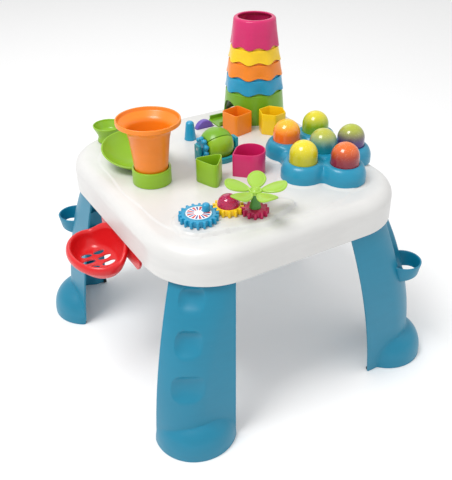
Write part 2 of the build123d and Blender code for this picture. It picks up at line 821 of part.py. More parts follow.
# ---------------------------------------------------------------- cup tower
def neck_outline(step, edge):
    """Stepped neck above a cup's visible band: outside from the shoulder, over the top, inside down."""
    neck = edge - cup_neck
    top = step + cup_neck_height
    return [
        (edge, step), (neck, step), (neck - 1, top), (neck - 1 - cup_wall, top), (neck - cup_wall, step - 2),
    ]


def tower_base():
    """Green base cup with an arched door and the tongue that the balls roll out on."""
    neck = neck_outline(cup_steps[0], cup_radii[0])
    shell = turned([(tower_foot, deck_top)] + neck + [(tower_foot - tower_wall, deck_top)])
    arch = door_width / 2
    opening = Rectangle(door_width, door_height - arch, align=(Align.CENTER, Align.MIN))
    opening += Pos(0, door_height - arch) * Circle(arch)
    door = extrude(Plane.YZ * opening, -2 * tower_foot)
    shell -= Pos(0, 0, deck_top + tongue_wall) * door
    floor_x = -tower_foot - tongue_length / 2 + 8
    tongue = Pos(floor_x, 0, deck_top + tongue_wall / 2) * Box(tongue_length + 16, tongue_width, tongue_wall)
    for side in (1, -1):
        wall = Pos(floor_x, side * (tongue_width - tongue_wall) / 2, deck_top + tongue_side / 2)
        tongue += wall * Box(tongue_length + 16, tongue_wall, tongue_side)
    tongue = tongue - post(tower_foot - tower_wall - 6, deck_top - 1, deck_top + 40)
    return Pos(*tower_place) * (shell + tongue)


def stacking_cup(index):
    """One cup of the tower: tapered skirt with a scalloped edge, ledge and neck."""
    below, step = cup_steps[index - 1], cup_steps[index]
    edge = cup_radii[index]
    low = below + cup_gap
    foot = cup_radii[index - 1] + cup_lip
    ledge = below + cup_neck_height
    ledge_in = cup_radii[index - 1] - cup_neck - 1 - cup_wall
    slope = (foot - edge) / (step - low)
    shelf = ledge + 1.5
    rejoin = ledge + 7
    if index == len(cup_steps) - 1:
        crown = [(edge, step - 3), (edge - 2, step), (mouth_radius, step), (mouth_radius, step - cup_wall),
                 (edge - cup_wall, step - cup_wall - 5)]
    else:
        crown = neck_outline(step, edge)
    inside = [
        (foot - slope * (rejoin - low) - cup_wall, rejoin),
        (ledge_in, shelf),
        (ledge_in, ledge),
        (foot - slope * (ledge - low) - cup_wall, ledge),
        (foot - cup_wall, low),
    ]
    cup = turned([(foot, low)] + crown + inside)
    cuts = Part()
    for k in range(scallop_count):
        turn = Rot(0, 0, 360 * (k + 0.5 * index) / scallop_count)
        cuts += turn * Pos(foot, 0, low + scallop_rise - scallop_radius) * Rot(0, 90, 0) * Cylinder(
            scallop_radius, foot)
    return Pos(*tower_place) * (cup - cuts)


# ---------------------------------------------------------------- key pod
def board_plan():
    """Circuit board: the cloud outline inside the pod's walls."""
    return offset(pod_plan(), -pod_wall - 1.5)


def board_posts():
    """Posts on the table top that carry the board, between the keys."""
    _, hub_x, hub_y = key_places[-1]
    outer = key_places[:key_count - pod_centre_keys]
    places = []
    for k, (_, x, y) in enumerate(outer):
        _, next_x, next_y = outer[(k + 1) % len(outer)]
        places.append(((x + next_x + hub_x) / 3, (y + next_y + hub_y) / 3))
    return places


def key_pod():
    """Cloud-shaped housing with a round hole for each key."""
    plan = pod_plan()
    outer = prism(plan, pod_z, pod_top)
    outer = fillet(outer.edges().group_by(Axis.Z)[-1], pod_rounding)
    inner = prism(offset(plan, -pod_wall), pod_z - 1, pod_roof)
    inner = fillet(inner.edges().group_by(Axis.Z)[-1], pod_inner_rounding)
    pod = outer - inner
    for _, x, y in key_places:
        pod -= post(dome_radius + dome_clear, pod_z, pod_top + 1, x, y)
    return pod


def key_dome():
    """Light-up dome key about the origin in plan: thin shell with a holding flange."""
    skirt_top = pod_top + dome_skirt
    inner = dome_radius - dome_wall
    half = cos(radians(45))
    outline = [
        Line((dome_radius, skirt_top), (dome_radius, dome_base + flange_height)),
        Line((dome_radius, dome_base + flange_height), (flange_radius, dome_base + flange_height)),
        Line((flange_radius, dome_base + flange_height), (flange_radius, dome_base)),
        Line((flange_radius, dome_base), (inner, dome_base)),
        Line((inner, dome_base), (inner, skirt_top)),
        ThreePointArc((inner, skirt_top), (inner * half, skirt_top + inner * half), (0, skirt_top + inner)),
        Line((0, skirt_top + inner), (0, skirt_top + dome_radius)),
        ThreePointArc(
            (0, skirt_top + dome_radius),
            (dome_radius * half, skirt_top + dome_radius * half),
            (dome_radius, skirt_top),
        ),
    ]
    return revolve(make_face(Plane.XZ * (Curve() + outline)), Axis.Z)


def spring_pad():
    """Rubber ring that pushes a key back up, from board to flange."""
    low = board_top
    high = dome_base
    foot = spring_pad_radius + spring_pad_flare
    head = spring_pad_radius + spring_pad_wall + 0.6
    return turned([(foot, low), (foot + spring_pad_wall, low), (head + spring_pad_wall, high), (head, high)])


# ---------------------------------------------------------------- power and sound
def battery_bay():
    """Width and depth of the battery opening in the cover."""
    return cell_count * cell_pitch + 6, cell_length + 12


def door_screw_place():
    """Plan place of the door's screw, beyond one end of the bay."""
    x, y = battery_place
    return x, y + battery_bay()[1] / 2 + tray_boss


def door_plan(gap):
    """Outline of the battery opening with the tab for its screw, shrunk by a gap."""
    bay_x, bay_y = battery_bay()
    x, y = door_screw_place()
    plan = Pos(*battery_place) * Rectangle(bay_x - 2 * gap, bay_y - 2 * gap)
    return plan + Pos(x, y) * RectangleRounded(door_tab - 2 * gap, 2 * tray_boss + 4 - 2 * gap, 2.5)


def battery_tray():
    """Open-bottomed box above the cover that holds the cells, with a boss for the door's screw."""
    bay_x, bay_y = battery_bay()
    height = 2 * cell_radius + 6
    tray = Pos(*battery_place, cover_top + height / 2) * Box(bay_x + 8, bay_y + 8, height)
    tray += post(tray_boss, cover_top, cover_top + height, *door_screw_place())
    hollow = Pos(*battery_place, cover_top + (height - tray_wall) / 2) * Box(bay_x, bay_y, height - tray_wall)
    return tray - hollow - post(screw_shank + pilot_clear, cover_top - 1, cover_top + door_screw_length,
                                *door_screw_place())


def battery_cells():
    """Cells side by side, resting on the door."""
    x, y = battery_place
    cells = []
    for k in range(cell_count):
        place = Pos(x + (k - (cell_count - 1) / 2) * cell_pitch, y, cover_top + cell_radius + fit_gap)
        nub = Pos(0, 0, cell_length / 2 - 0.4) * Cylinder(2.6, 1.2)
        cell = Cylinder(cell_radius, cell_length - 1.5) + nub
        cells.append(place * Rot(90 if k % 2 else -90, 0, 0) * cell)
    return Compound(cells)


def battery_contacts():
    """Contact plates at both ends of the cells."""
    x, y = battery_place
    bay_y = battery_bay()[1]
    plates = []
    for side in (1, -1):
        for k in range(cell_count):
            px = x + (k - (cell_count - 1) / 2) * cell_pitch
            plate = Pos(px, y + side * (bay_y - contact_wall) / 2, cover_top + cell_radius + 1)
            plates.append(plate * Box(10, contact_wall, 10))
    return Compound(plates)


def battery_door():
    """Door let into the cover opening, held by one screw."""
    plate = prism(door_plan(door_gap), cover_top - door_wall, cover_top - fit_gap)
    return plate - post(screw_shank + screw_clear, cover_z - 5, cover_top + 5, *door_screw_place())


def door_screw():
    """Captive screw of the battery door, into the tray's boss."""
    low = cover_top - door_wall
    screw = post(screw_head, low - screw_head_height, low, *door_screw_place())
    return screw + post(screw_shank, low, cover_top + door_screw_length - 1, *door_screw_place())


def speaker():
    """Loudspeaker lying on the cover: magnet, basket and cone."""
    low = cover_top
    return Pos(*speaker_place) * turned([
        (0, low), (speaker_radius * 0.5, low), (speaker_radius * 0.5, low + 5),
        (speaker_radius - 2, low + speaker_height - 3), (speaker_radius, low + speaker_height - 3),
        (speaker_radius, low + speaker_height), (speaker_radius - 4, low + speaker_height),
        (speaker_radius * 0.35, low + speaker_height - 6), (0, low + speaker_height - 4),
    ])


# ---------------------------------------------------------------- basket
def hook_places():
    """Y of the two hooks that hold the basket behind the skirt."""
    return basket_y - bar_length * 0.33, basket_y + bar_length * 0.33


def basket_oval(z, inset):
    """Plan of the basket at a height."""
    fall = (basket_top_z - z) / basket_drop
    half_x = basket_half_x - basket_taper * fall - inset
    half_y = basket_half_y - basket_taper * fall - inset
    return Pos(basket_x, basket_y, z) * Ellipse(half_y, half_x, rotation=90)


def basket():
    """Red ball basket: rolled lip, slotted net bowl, and a bar with two hooks behind the skirt."""
    low = basket_top_z - basket_drop
    outer = loft([basket_oval(low, 0), basket_oval(basket_top_z, 0)])
    inner = loft([basket_oval(low - 1, basket_wall), basket_oval(basket_top_z + 1, basket_wall)])
    lip_plan = Ellipse(basket_half_y + lip_proud, basket_half_x + lip_proud, rotation=90)
    lip = prism(Pos(basket_x, basket_y) * lip_plan, basket_top_z - lip_height, basket_top_z)
    lip = fillet(lip.edges().filter_by(GeomType.ELLIPSE), 3.0)
    slots = Part()
    mid_z = basket_top_z - lip_height - 4 - slot_height / 2
    for k in range(slot_count):
        turn = 360 * (k + 0.5) / slot_count
        slot = extrude(Plane.YZ * SlotOverall(slot_height, slot_width, rotation=90), basket_half_y + 20)
        slots += Pos(basket_x, basket_y, mid_z) * Rot(0, 0, turn) * slot
    bowl = (outer + lip) - inner - slots
    skirt_inner = top_width / 2 - top_wall
    bar_x = -skirt_inner + fit_gap + bar_wall / 2 + 1
    bar_top = rim_z - fit_gap
    bar = Pos(bar_x, basket_y, (basket_top_z - lip_height + bar_top) / 2) * Box(
        bar_wall, bar_length, bar_top - basket_top_z + lip_height)
    bar -= prism(Pos(basket_x, basket_y) * Ellipse(
        basket_half_y - basket_wall, basket_half_x - basket_wall, rotation=90), low, basket_top_z)
    for y in hook_places():
        hook = Pos(-skirt_inner + fit_gap + hook_wall / 2, y, bar_top + hook_height / 2 - 2)
        bar += hook * Box(hook_wall, hook_length, hook_height + 4)
    return bowl + bar


# ---------------------------------------------------------------- build
def main():
    """Build and write every node."""
    save(top_shell(), "top_shell")
    save(bottom_cover(), "bottom_cover")
    save(cover_screws(), "cover_screws")
    dimpled = leg(True)
    hooped = leg(False)
    save(mirrored(dimpled, -1, -1), "front_leg")
    save(mirrored(hooped, 1, -1), "right_leg")
    save(mirrored(hooped, -1, 1), "left_leg")
    save(dimpled, "back_leg")
    save(foot_pads(), "foot_pads")
    gears()
    flower()
    save(funnel(), "funnel")
    save(ball_ramp(), "ball_ramp")
    save(ball_bowl(), "ball_bowl")
    shape_cups()
    spinner()
    roller()
    save(stop_post(), "stop_post")
    save(tower_base(), "tower_base")
    for index, colour in enumerate(("blue", "orange", "yellow", "pink"), start=1):
        save(stacking_cup(index), f"{colour}_cup")
    save(key_pod(), "key_pod")
    dome = key_dome()
    ring = spring_pad()
    for colour, x, y in key_places:
        save(Pos(x, y) * dome, f"{colour}_key")
        save(Pos(x, y) * ring, f"{colour}_key_spring")
    board = prism(board_plan(), board_top - board_thickness, board_top)
    save(board, "circuit_board")
    lamps = [post(lamp_radius, board_top, board_top + lamp_height, x, y) for _, x, y in key_places]
    save(Compound(lamps), "key_lamps")
    save(speaker(), "speaker")
    save(battery_tray(), "battery_tray")
    save(battery_cells(), "battery_cells")
    save(battery_contacts(), "battery_contacts")
    save(battery_door(), "battery_door")
    save(door_screw(), "battery_door_screw")
    save(basket(), "ball_basket")


main()
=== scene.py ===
"""Looks of a toddler's musical activity table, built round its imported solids.

Sizes in the classes are millimetres from the middle of the table top; meshes are made in metres.
"""

from __future__ import annotations

import json
import logging
import math
from collections.abc import Callable
from dataclasses import dataclass, field
from enum import Enum

import bmesh
import bpy
from mathutils import Matrix, Vector

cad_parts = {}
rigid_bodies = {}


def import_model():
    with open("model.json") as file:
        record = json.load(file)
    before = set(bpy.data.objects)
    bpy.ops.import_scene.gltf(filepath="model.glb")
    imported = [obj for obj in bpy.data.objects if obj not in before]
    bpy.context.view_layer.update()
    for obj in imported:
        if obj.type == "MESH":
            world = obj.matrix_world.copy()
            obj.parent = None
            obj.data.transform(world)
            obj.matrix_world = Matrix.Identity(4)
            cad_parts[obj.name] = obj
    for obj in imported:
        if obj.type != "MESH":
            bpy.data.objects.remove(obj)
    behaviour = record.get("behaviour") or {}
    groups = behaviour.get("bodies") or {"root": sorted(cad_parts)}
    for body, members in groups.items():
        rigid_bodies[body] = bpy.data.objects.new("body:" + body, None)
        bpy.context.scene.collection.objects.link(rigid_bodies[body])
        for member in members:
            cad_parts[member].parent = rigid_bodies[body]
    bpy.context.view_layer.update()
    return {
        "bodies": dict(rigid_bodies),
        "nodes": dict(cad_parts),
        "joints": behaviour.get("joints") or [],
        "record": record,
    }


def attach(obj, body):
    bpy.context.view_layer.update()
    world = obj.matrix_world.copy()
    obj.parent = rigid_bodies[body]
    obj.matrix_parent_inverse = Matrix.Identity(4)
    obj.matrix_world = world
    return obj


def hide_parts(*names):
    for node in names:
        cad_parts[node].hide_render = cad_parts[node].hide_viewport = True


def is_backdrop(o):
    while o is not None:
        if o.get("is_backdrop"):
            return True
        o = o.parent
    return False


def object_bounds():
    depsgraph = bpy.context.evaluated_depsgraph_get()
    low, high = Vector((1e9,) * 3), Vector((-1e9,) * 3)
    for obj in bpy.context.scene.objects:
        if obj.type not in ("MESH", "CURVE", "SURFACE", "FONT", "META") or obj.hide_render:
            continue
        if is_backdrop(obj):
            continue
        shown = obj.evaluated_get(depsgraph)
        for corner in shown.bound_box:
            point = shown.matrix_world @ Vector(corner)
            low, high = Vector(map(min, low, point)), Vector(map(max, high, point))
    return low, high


LOG = logging.getLogger("activity_table")
MM = 0.001
Point = tuple[float, float]
Spot = tuple[float, float, float]

SHIFT = 12.75  # the table's middle stands this far along X from the frame's origin
RIM_Z = 282.0  # lower edge of the white top
DECK = 340.5  # level of the deck that the toys stand on
DIAGONAL = 0.7071  # share of each axis along a corner's diagonal
NECK_IN = 3.4  # a cup's neck is this much narrower than its top edge
NECK_RISE = 9.0  # and this much higher
BLUE_GEAR_AT: Point = (-135.0, -145.0)
MAGENTA_GEAR_AT: Point = (-55.93, -173.35)
TOWER_AT: Point = (154.0, 161.0)
KEYS: dict[str, Point] = {
    "orange": (104.0, -22.0), "lemon": (78.0, -107.0), "red": (130.0, -148.0),
    "purple": (184.0, -96.0), "lime": (168.0, -18.0), "teal": (133.0, -86.0),
}


def metres(spot: Spot) -> Vector:
    """A place in the frame, in metres, from millimetres at the table's middle."""
    return Vector(((spot[0] + SHIFT) * MM, spot[1] * MM, spot[2] * MM))


def rounded(corners: list[Spot], steps: int = 5, closed: bool = True) -> list[Point]:
    """A polyline with its corners rounded.

    Args:
        corners: points as (first, second, radius of the corner).
        steps: how many pieces each rounding has.
        closed: whether the last point is joined to the first.

    Returns:
        The points of the rounded line.
    """
    points: list[Point] = []
    for k, (first, second, radius) in enumerate(corners):
        here = Vector((first, second))
        if radius == 0 or (not closed and k in (0, len(corners) - 1)):
            points.append((first, second))
            continue
        before = Vector(corners[k - 1][:2]) - here
        after = Vector(corners[(k + 1) % len(corners)][:2]) - here
        half = before.angle(after) / 2
        reach = min(radius / max(math.tan(half), 0.05), 0.48 * before.length, 0.48 * after.length)
        start, end = here + before.normalized() * reach, here + after.normalized() * reach
        for step in range(steps + 1):
            t = step / steps
            spot = start * (1 - t) ** 2 + here * (2 * t * (1 - t)) + end * t ** 2
            points.append((spot.x, spot.y))
    return points


def resampled(points: list[Point], count: int) -> list[Point]:
    """The same closed line with its points evenly spaced.

    Args:
        points: the closed line.
        count: how many points it gets.

    Returns:
        The new points.
    """
    loop = [Vector(p) for p in points] + [Vector(points[0])]
    lengths = [0.0]
    for a, b in zip(loop, loop[1:]):
        lengths.append(lengths[-1] + (b - a).length)
    result, k = [], 0
    for step in range(count):
        goal = lengths[-1] * step / count
        while lengths[k + 1] < goal:
            k += 1
        share = (goal - lengths[k]) / max(lengths[k + 1] - lengths[k], 1e-9)
        spot = loop[k].lerp(loop[k + 1], share)
        result.append((spot.x, spot.y))
    return result


def inset(plan: list[Point], distance: float) -> list[Point]:
    """A closed plan moved inwards, point by point.

    Args:
        plan: the plan, counterclockwise.
        distance: how far it moves.

    Returns:
        The moved plan, with as many points.
    """
    result = []
    for k, (x, y) in enumerate(plan):
        ahead, behind = plan[(k + 1) % len(plan)], plan[k - 1]
        run = Vector((ahead[0] - behind[0], ahead[1] - behind[1])).normalized()
        result.append((x - run.y * distance, y + run.x * distance))
    return result


def polygon(sides: int, radius: float, corner: float, place: Spot) -> list[Point]:
    """Rounded regular polygon, counterclockwise.

    Args:
        sides: how many sides it has.
        radius: its corners' distance from its middle.
        corner: rounding of its corners.
        place: its middle and its turn in degrees, as (x, y, turn).

    Returns:
        Its outline.
    """
    x, y, turn = place
    spots = []
    for k in range(sides):
        angle = math.radians(turn) + math.tau * k / sides
        spots.append((x + radius * math.cos(angle), y + radius * math.sin(angle), corner))
    return rounded(spots)


def soft_step(value: float) -> float:
    """0 below 0, 1 above 1, and smooth between."""
    t = min(1.0, max(0.0, value))
    return t * t * (3 - 2 * t)


def soft_max(first: float, second: float, width: float) -> float:
    """The larger of two values, blended where they are within width of each other."""
    share = max(width - abs(first - second), 0.0) / width
    return max(first, second) + share * share * width / 4


# ------------------------------------------------------------------ shader graph
class Value:
    """A shader socket that Python arithmetic can be written on."""

    def __init__(self, graph: "Graph", socket: bpy.types.NodeSocket) -> None:
        """Keep the socket and the graph that it belongs to."""
        self.graph = graph
        self.socket = socket

    def _math(self, operation: str, first: object, second: object = 0.0) -> "Value":
        """Add one Math node.

        Args:
            operation: the Math node's operation.
            first: its first input, a number or a Value.
            second: its second input.

        Returns:
            The node's result.
        """
        return self.graph.add("ShaderNodeMath", {"operation": operation}, {0: first, 1: second})

    def __add__(self, other: object) -> "Value":
        """self + other."""
        return self._math("ADD", self, other)

    __radd__ = __add__

    def __sub__(self, other: object) -> "Value":
        """self - other."""
        return self._math("SUBTRACT", self, other)

    def __rsub__(self, other: object) -> "Value":
        """other - self."""
        return self._math("SUBTRACT", other, self)

    def __mul__(self, other: object) -> "Value":
        """self * other."""
        return self._math("MULTIPLY", self, other)

    __rmul__ = __mul__

    def __pow__(self, other: object) -> "Value":
        """self to the power of other."""
        return self._math("POWER", self, other)

    def func(self, operation: str, other: object = 0.0) -> "Value":
        """Any other Math operation, such as SINE or ABSOLUTE."""
        return self._math(operation, self, other)

    def ramp(self, low: float, high: float) -> "Value":
        """0 below low, 1 above high, and smooth between.

        Args:
            low: where it leaves 0.
            high: where it reaches 1.

        Returns:
            The ramp's value.
        """
        return self.graph.add(
            "ShaderNodeMapRange",
            {"interpolation_type": "SMOOTHSTEP"},
            {"Value": self, "From Min": low, "From Max": high, "To Min": 0.0, "To Max": 1.0},
        )


class Graph:
    """The node tree of one material, with a Principled shader at its end."""

    def __init__(self, name: str) -> None:
        """Make an empty material.

        Args:
            name: the material's name.
        """
        self.material = bpy.data.materials.new(name)
        self.material.use_nodes = True
        self.tree = self.material.node_tree
        self.tree.nodes.clear()
        self.output = self.tree.nodes.new("ShaderNodeOutputMaterial")
        self.shader = self.tree.nodes.new("ShaderNodeBsdfPrincipled")
        self.tree.links.new(self.shader.outputs[0], self.output.inputs["Surface"])
        self._coordinates: Value | None = None

    def add(self, kind: str, settings: dict | None = None, inputs: dict | None = None,
            output: object = 0) -> Value:
        """Add a node.

        Args:
            kind: the node's type.
            settings: its own settings, such as a Math node's operation.
            inputs: socket name or index to a number, a colour or a Value.
            output: name or index of the output that is returned.

        Returns:
            The chosen output.
        """
        node = self.tree.nodes.new(kind)
        for key, value in (settings or {}).items():
            setattr(node, key, value)
        for key, value in (inputs or {}).items():
            self.put(node.inputs[key], value)
        return Value(self, node.outputs[output])

    def put(self, socket: bpy.types.NodeSocket, value: object) -> None:
        """Link a Value to a socket, or set the socket's own value.

        Args:
            socket: the socket.
            value: a Value, a number or a colour.
        """
        if isinstance(value, Value):
            self.tree.links.new(value.socket, socket)
        else:
            socket.default_value = value

    def set(self, **values: object) -> None:
        """Set or link sockets of the Principled shader; an underscore stands for a space."""
        for key, value in values.items():
            self.put(self.shader.inputs[key.replace("_", " ")], value)

    def coordinates(self) -> Value:
        """The piece's own coordinates, in metres, from one node that all its users share.

        Returns:
            The coordinates.
        """
        if self._coordinates is None:
            self._coordinates = self.add("ShaderNodeTexCoord", output="Object")
        return self._coordinates

    def noise(self, scale: float, detail: float = 2.0, stretch: Spot = (1, 1, 1)) -> Value:
        """Noise from 0 to 1 on the piece's coordinates.

        Args:
            scale: features per metre.
            detail: how many finer layers it has.
            stretch: scale of each axis.

        Returns:
            The noise's value.
        """
        place = self.coordinates()
        if stretch != (1, 1, 1):
            place = self.add("ShaderNodeMapping", inputs={"Vector": place, "Scale": stretch})
        return self.add("ShaderNodeTexNoise", inputs={"Vector": place, "Scale": scale, "Detail": detail})

    def axis(self, name: str) -> Value:
        """One coordinate of the piece: X, Y or Z, in metres."""
        return self.add("ShaderNodeSeparateXYZ", inputs={0: self.coordinates()}, output=name)

    def mix(self, factor: object, first: object, second: object) -> Value:
        """Mix two colours.

        Args:
            factor: share of the second.
            first: the first colour, a tuple or a Value.
            second: the second colour.

        Returns:
            The mixed colour.
        """
        node = self.tree.nodes.new("ShaderNodeMix")
        node.data_type = "RGBA"
        self.put(node.inputs[0], factor)
        self.put(node.inputs[6], first)
        self.put(node.inputs[7], second)
        return Value(self, node.outputs[2])

    def bump(self, height: Value, strength: float, distance: float) -> None:
        """Feed a bump to the shader's Normal.

        Args:
            height: the surface's height, 0 to 1.
            strength: how strongly it shows.
            distance: what a height of 1 stands for, in metres.
        """
        inputs = {"Strength": strength, "Distance": distance, "Height": height}
        self.set(Normal=self.add("ShaderNodeBump", inputs=inputs, output="Normal"))


def rgba(colour: Spot, gain: float = 1.0) -> tuple[float, float, float, float]:
    """A colour with alpha 1, brightened by gain."""
    return (*[min(1.0, c * gain) for c in colour], 1.0)


# ------------------------------------------------------------------ finishes
@dataclass(frozen=True)
class Plastic:
    """Satin moulded plastic: fine spark-eroded grain, faint flow marks and light scuffs."""

    name: str
    colour: Spot
    roughness: float = 0.36
    grain: float = 0.10
    glow: float = 0.06
    coat: float = 0.12
    scuffs: float = 0.5

    def material(self) -> bpy.types.Material:
        """Build the material.

        Returns:
            The material.
        """
        g = Graph(self.name)
        broad = g.noise(9.0, 2.0)
        flow = g.noise(30.0, 3.0, (1.0, 1.0, 4.0))
        grain = g.noise(1900.0, 2.0)
        marks = g.noise(160.0, 4.0, (1.0, 6.0, 1.0)).ramp(0.66, 0.74)
        tone = broad * 0.6 + flow * 0.4
        base = g.mix(tone.ramp(0.3, 0.7), rgba(self.colour, 0.96), rgba(self.colour, 1.03))
        pale = rgba(tuple(c * 0.75 + 0.22 for c in self.colour))
        g.set(
            Base_Color=g.mix(marks * (0.10 * self.scuffs), base, pale),
            Roughness=grain * 0.06 + marks * (0.12 * self.scuffs) + (self.roughness - 0.03),
            Coat_Weight=self.coat,
            Coat_Roughness=0.22,
            Subsurface_Weight=self.glow,
            Subsurface_Radius=(0.004, 0.004, 0.004),
            Subsurface_Scale=1.0,
            IOR=1.49,
        )
        g.bump(grain * 0.8 + broad * 0.2, self.grain, 0.00012)
        return g.material


@dataclass(frozen=True)
class Dome:
    """Lit translucent key: base colour painted deeper towards its skirt and brighter towards its crown, where
    the lamp shines through, with painted glints that are strongest at its crown.
    """

    name: str
    deep: Spot
    bright: Spot
    lamp_z: float
    top_z: float
    centre: Point
    glint_strength: float = 0.3
    power: float = 0.16

    def material(self) -> bpy.types.Material:
        """Build the material.

        Returns:
            The material.
        """
        g = Graph(self.name)
        height = g.axis("Z").ramp(self.lamp_z * MM, self.top_z * MM)
        dx = g.axis("X") - (self.centre[0] + SHIFT) * MM
        dy = g.axis("Y") - self.centre[1] * MM
        reach = (dx * dx + dy * dy).func("SQRT")
        lit = (1.0 - reach.ramp(0.002, 0.021)) * 0.5 + height * height * 0.5
        cells = {"Vector": g.coordinates(), "Scale": 420.0}
        # Painted glints: small bright specks, whitened in the base colour and emitted, that stand in for lamp
        # glints and grow towards the crown.
        glint_cells = g.add("ShaderNodeTexVoronoi", {"feature": "F1"}, cells, output="Distance")
        painted_glints = (1.0 - glint_cells.ramp(0.10, 0.26)) * self.glint_strength
        # Painted lamp light: the base colour runs from the deep colour at the skirt to the bright colour at
        # the crown.
        colour = g.mix(height ** 1.6, rgba(self.deep), rgba(self.bright, 0.86))
        grain = g.noise(1500.0, 2.0)
        g.set(
            Base_Color=g.mix(painted_glints * height, colour, (1.0, 0.96, 0.8, 1.0)),
            Emission_Color=g.mix(lit * 0.8 + painted_glints * 0.5, rgba(self.deep), rgba(self.bright, 1.25)),
            Emission_Strength=self.power,
            Roughness=grain * 0.05 + 0.16,
            Coat_Weight=0.35,
            Coat_Roughness=0.08,
            Subsurface_Weight=0.05,
            Subsurface_Radius=(0.006, 0.004, 0.003),
            Subsurface_Scale=1.0,
        )
        g.bump(grain, 0.05, 0.0001)
        return g.material


@dataclass(frozen=True)
class ClearPlastic:
    """Tinted clear dome."""

    name: str
    colour: Spot

    def material(self) -> bpy.types.Material:
        """Build the material.

        Returns:
            The material.
        """
        g = Graph(self.name)
        smear = g.noise(90.0, 3.0)
        g.set(
            Base_Color=g.mix(smear, rgba(self.colour, 0.95), rgba(self.colour, 1.1)),
            Roughness=smear * 0.05 + 0.05,
            Transmission_Weight=0.75,
            IOR=1.45,
            Coat_Weight=0.4,
        )
        g.bump(smear, 0.04, 0.0003)
        return g.material


@dataclass(frozen=True)
class Metal:
    """Plated steel with fine turning marks."""

    name: str
    colour: Spot
    roughness: float = 0.3

    def material(self) -> bpy.types.Material:
        """Build the material.

        Returns:
            The material.
        """
        g = Graph(self.name)
        lines = g.noise(700.0, 3.0, (1.0, 1.0, 8.0))
        tone = g.noise(60.0, 2.0)
        g.set(
            Base_Color=g.mix(tone, rgba(self.colour, 0.88), rgba(self.colour, 1.06)),
            Roughness=lines * 0.14 + (self.roughness - 0.05),
            Metallic=1.0,
        )
        g.bump(lines, 0.08, 0.0001)
        return g.material


@dataclass(frozen=True)
class Rubber:
    """Matt rubber with a pebbled skin."""

    name: str
    colour: Spot

    def material(self) -> bpy.types.Material:
        """Build the material.

        Returns:
            The material.
        """
        g = Graph(self.name)
        pebbles = g.noise(900.0, 3.0)
        g.set(
            Base_Color=g.mix(pebbles, rgba(self.colour, 0.8), rgba(self.colour, 1.3)),
            Roughness=pebbles * 0.1 + 0.7,
        )
        g.bump(pebbles, 0.35, 0.0003)
        return g.material


@dataclass(frozen=True)
class DialFace:
    """White dial with a plain ring of red and blue bars."""

    name: str
    centre: Point
    bars: int = 9

    def material(self) -> bpy.types.Material:
        """Build the material.

        Returns:
            The material.
        """
        g = Graph(self.name)
        dx = g.axis("X") - (self.centre[0] + SHIFT) * MM
        dy = g.axis("Y") - self.centre[1] * MM
        reach = (dx * dx + dy * dy).func("SQRT")
        turn = dy.func("ARCTAN2", dx)
        wave = (turn * float(self.bars)).func("SINE")
        ring = reach.ramp(0.0068, 0.0072) * (1.0 - reach.ramp(0.0172, 0.0176))
        red = (wave - 0.45).ramp(0.0, 0.08) * ring
        blue = (0.0 - wave - 0.62).ramp(0.0, 0.08) * ring
        rim = reach.ramp(0.0186, 0.019)
        grain = g.noise(1500.0, 2.0)
        colour = g.mix(red, (0.86, 0.86, 0.86, 1.0), (0.55, 0.02, 0.03, 1.0))
        colour = g.mix(blue, colour, (0.02, 0.10, 0.35, 1.0))
        colour = g.mix(rim, colour, (0.10, 0.38, 0.55, 1.0))
        g.set(Base_Color=colour, Roughness=grain * 0.05 + 0.3, Coat_Weight=0.2)
        g.bump(grain, 0.08, 0.0001)
        return g.material


@dataclass(frozen=True)
class Board:
    """Green circuit board with tinned tracks."""

    name: str

    def material(self) -> bpy.types.Material:
        """Build the material.

        Returns:
            The material.
        """
        g = Graph(self.name)
        tracks = g.add("ShaderNodeTexBrick", inputs={
            "Vector": g.coordinates(), "Scale": 120.0, "Mortar Size": 0.06, "Color1": (0, 0, 0, 1),
            "Color2": (0, 0, 0, 1), "Mortar": (1, 1, 1, 1)}, output="Color")
        weave = g.noise(900.0, 2.0)
        base = g.mix(weave, (0.01, 0.11, 0.04, 1.0), (0.02, 0.17, 0.06, 1.0))
        mask = g.add("ShaderNodeSeparateColor", inputs={0: tracks}, output="Red")
        g.set(Base_Color=g.mix(mask * 0.6, base, (0.35, 0.42, 0.25, 1.0)), Roughness=weave * 0.1 + 0.35)
        g.bump(mask, 0.2, 0.0001)
        return g.material


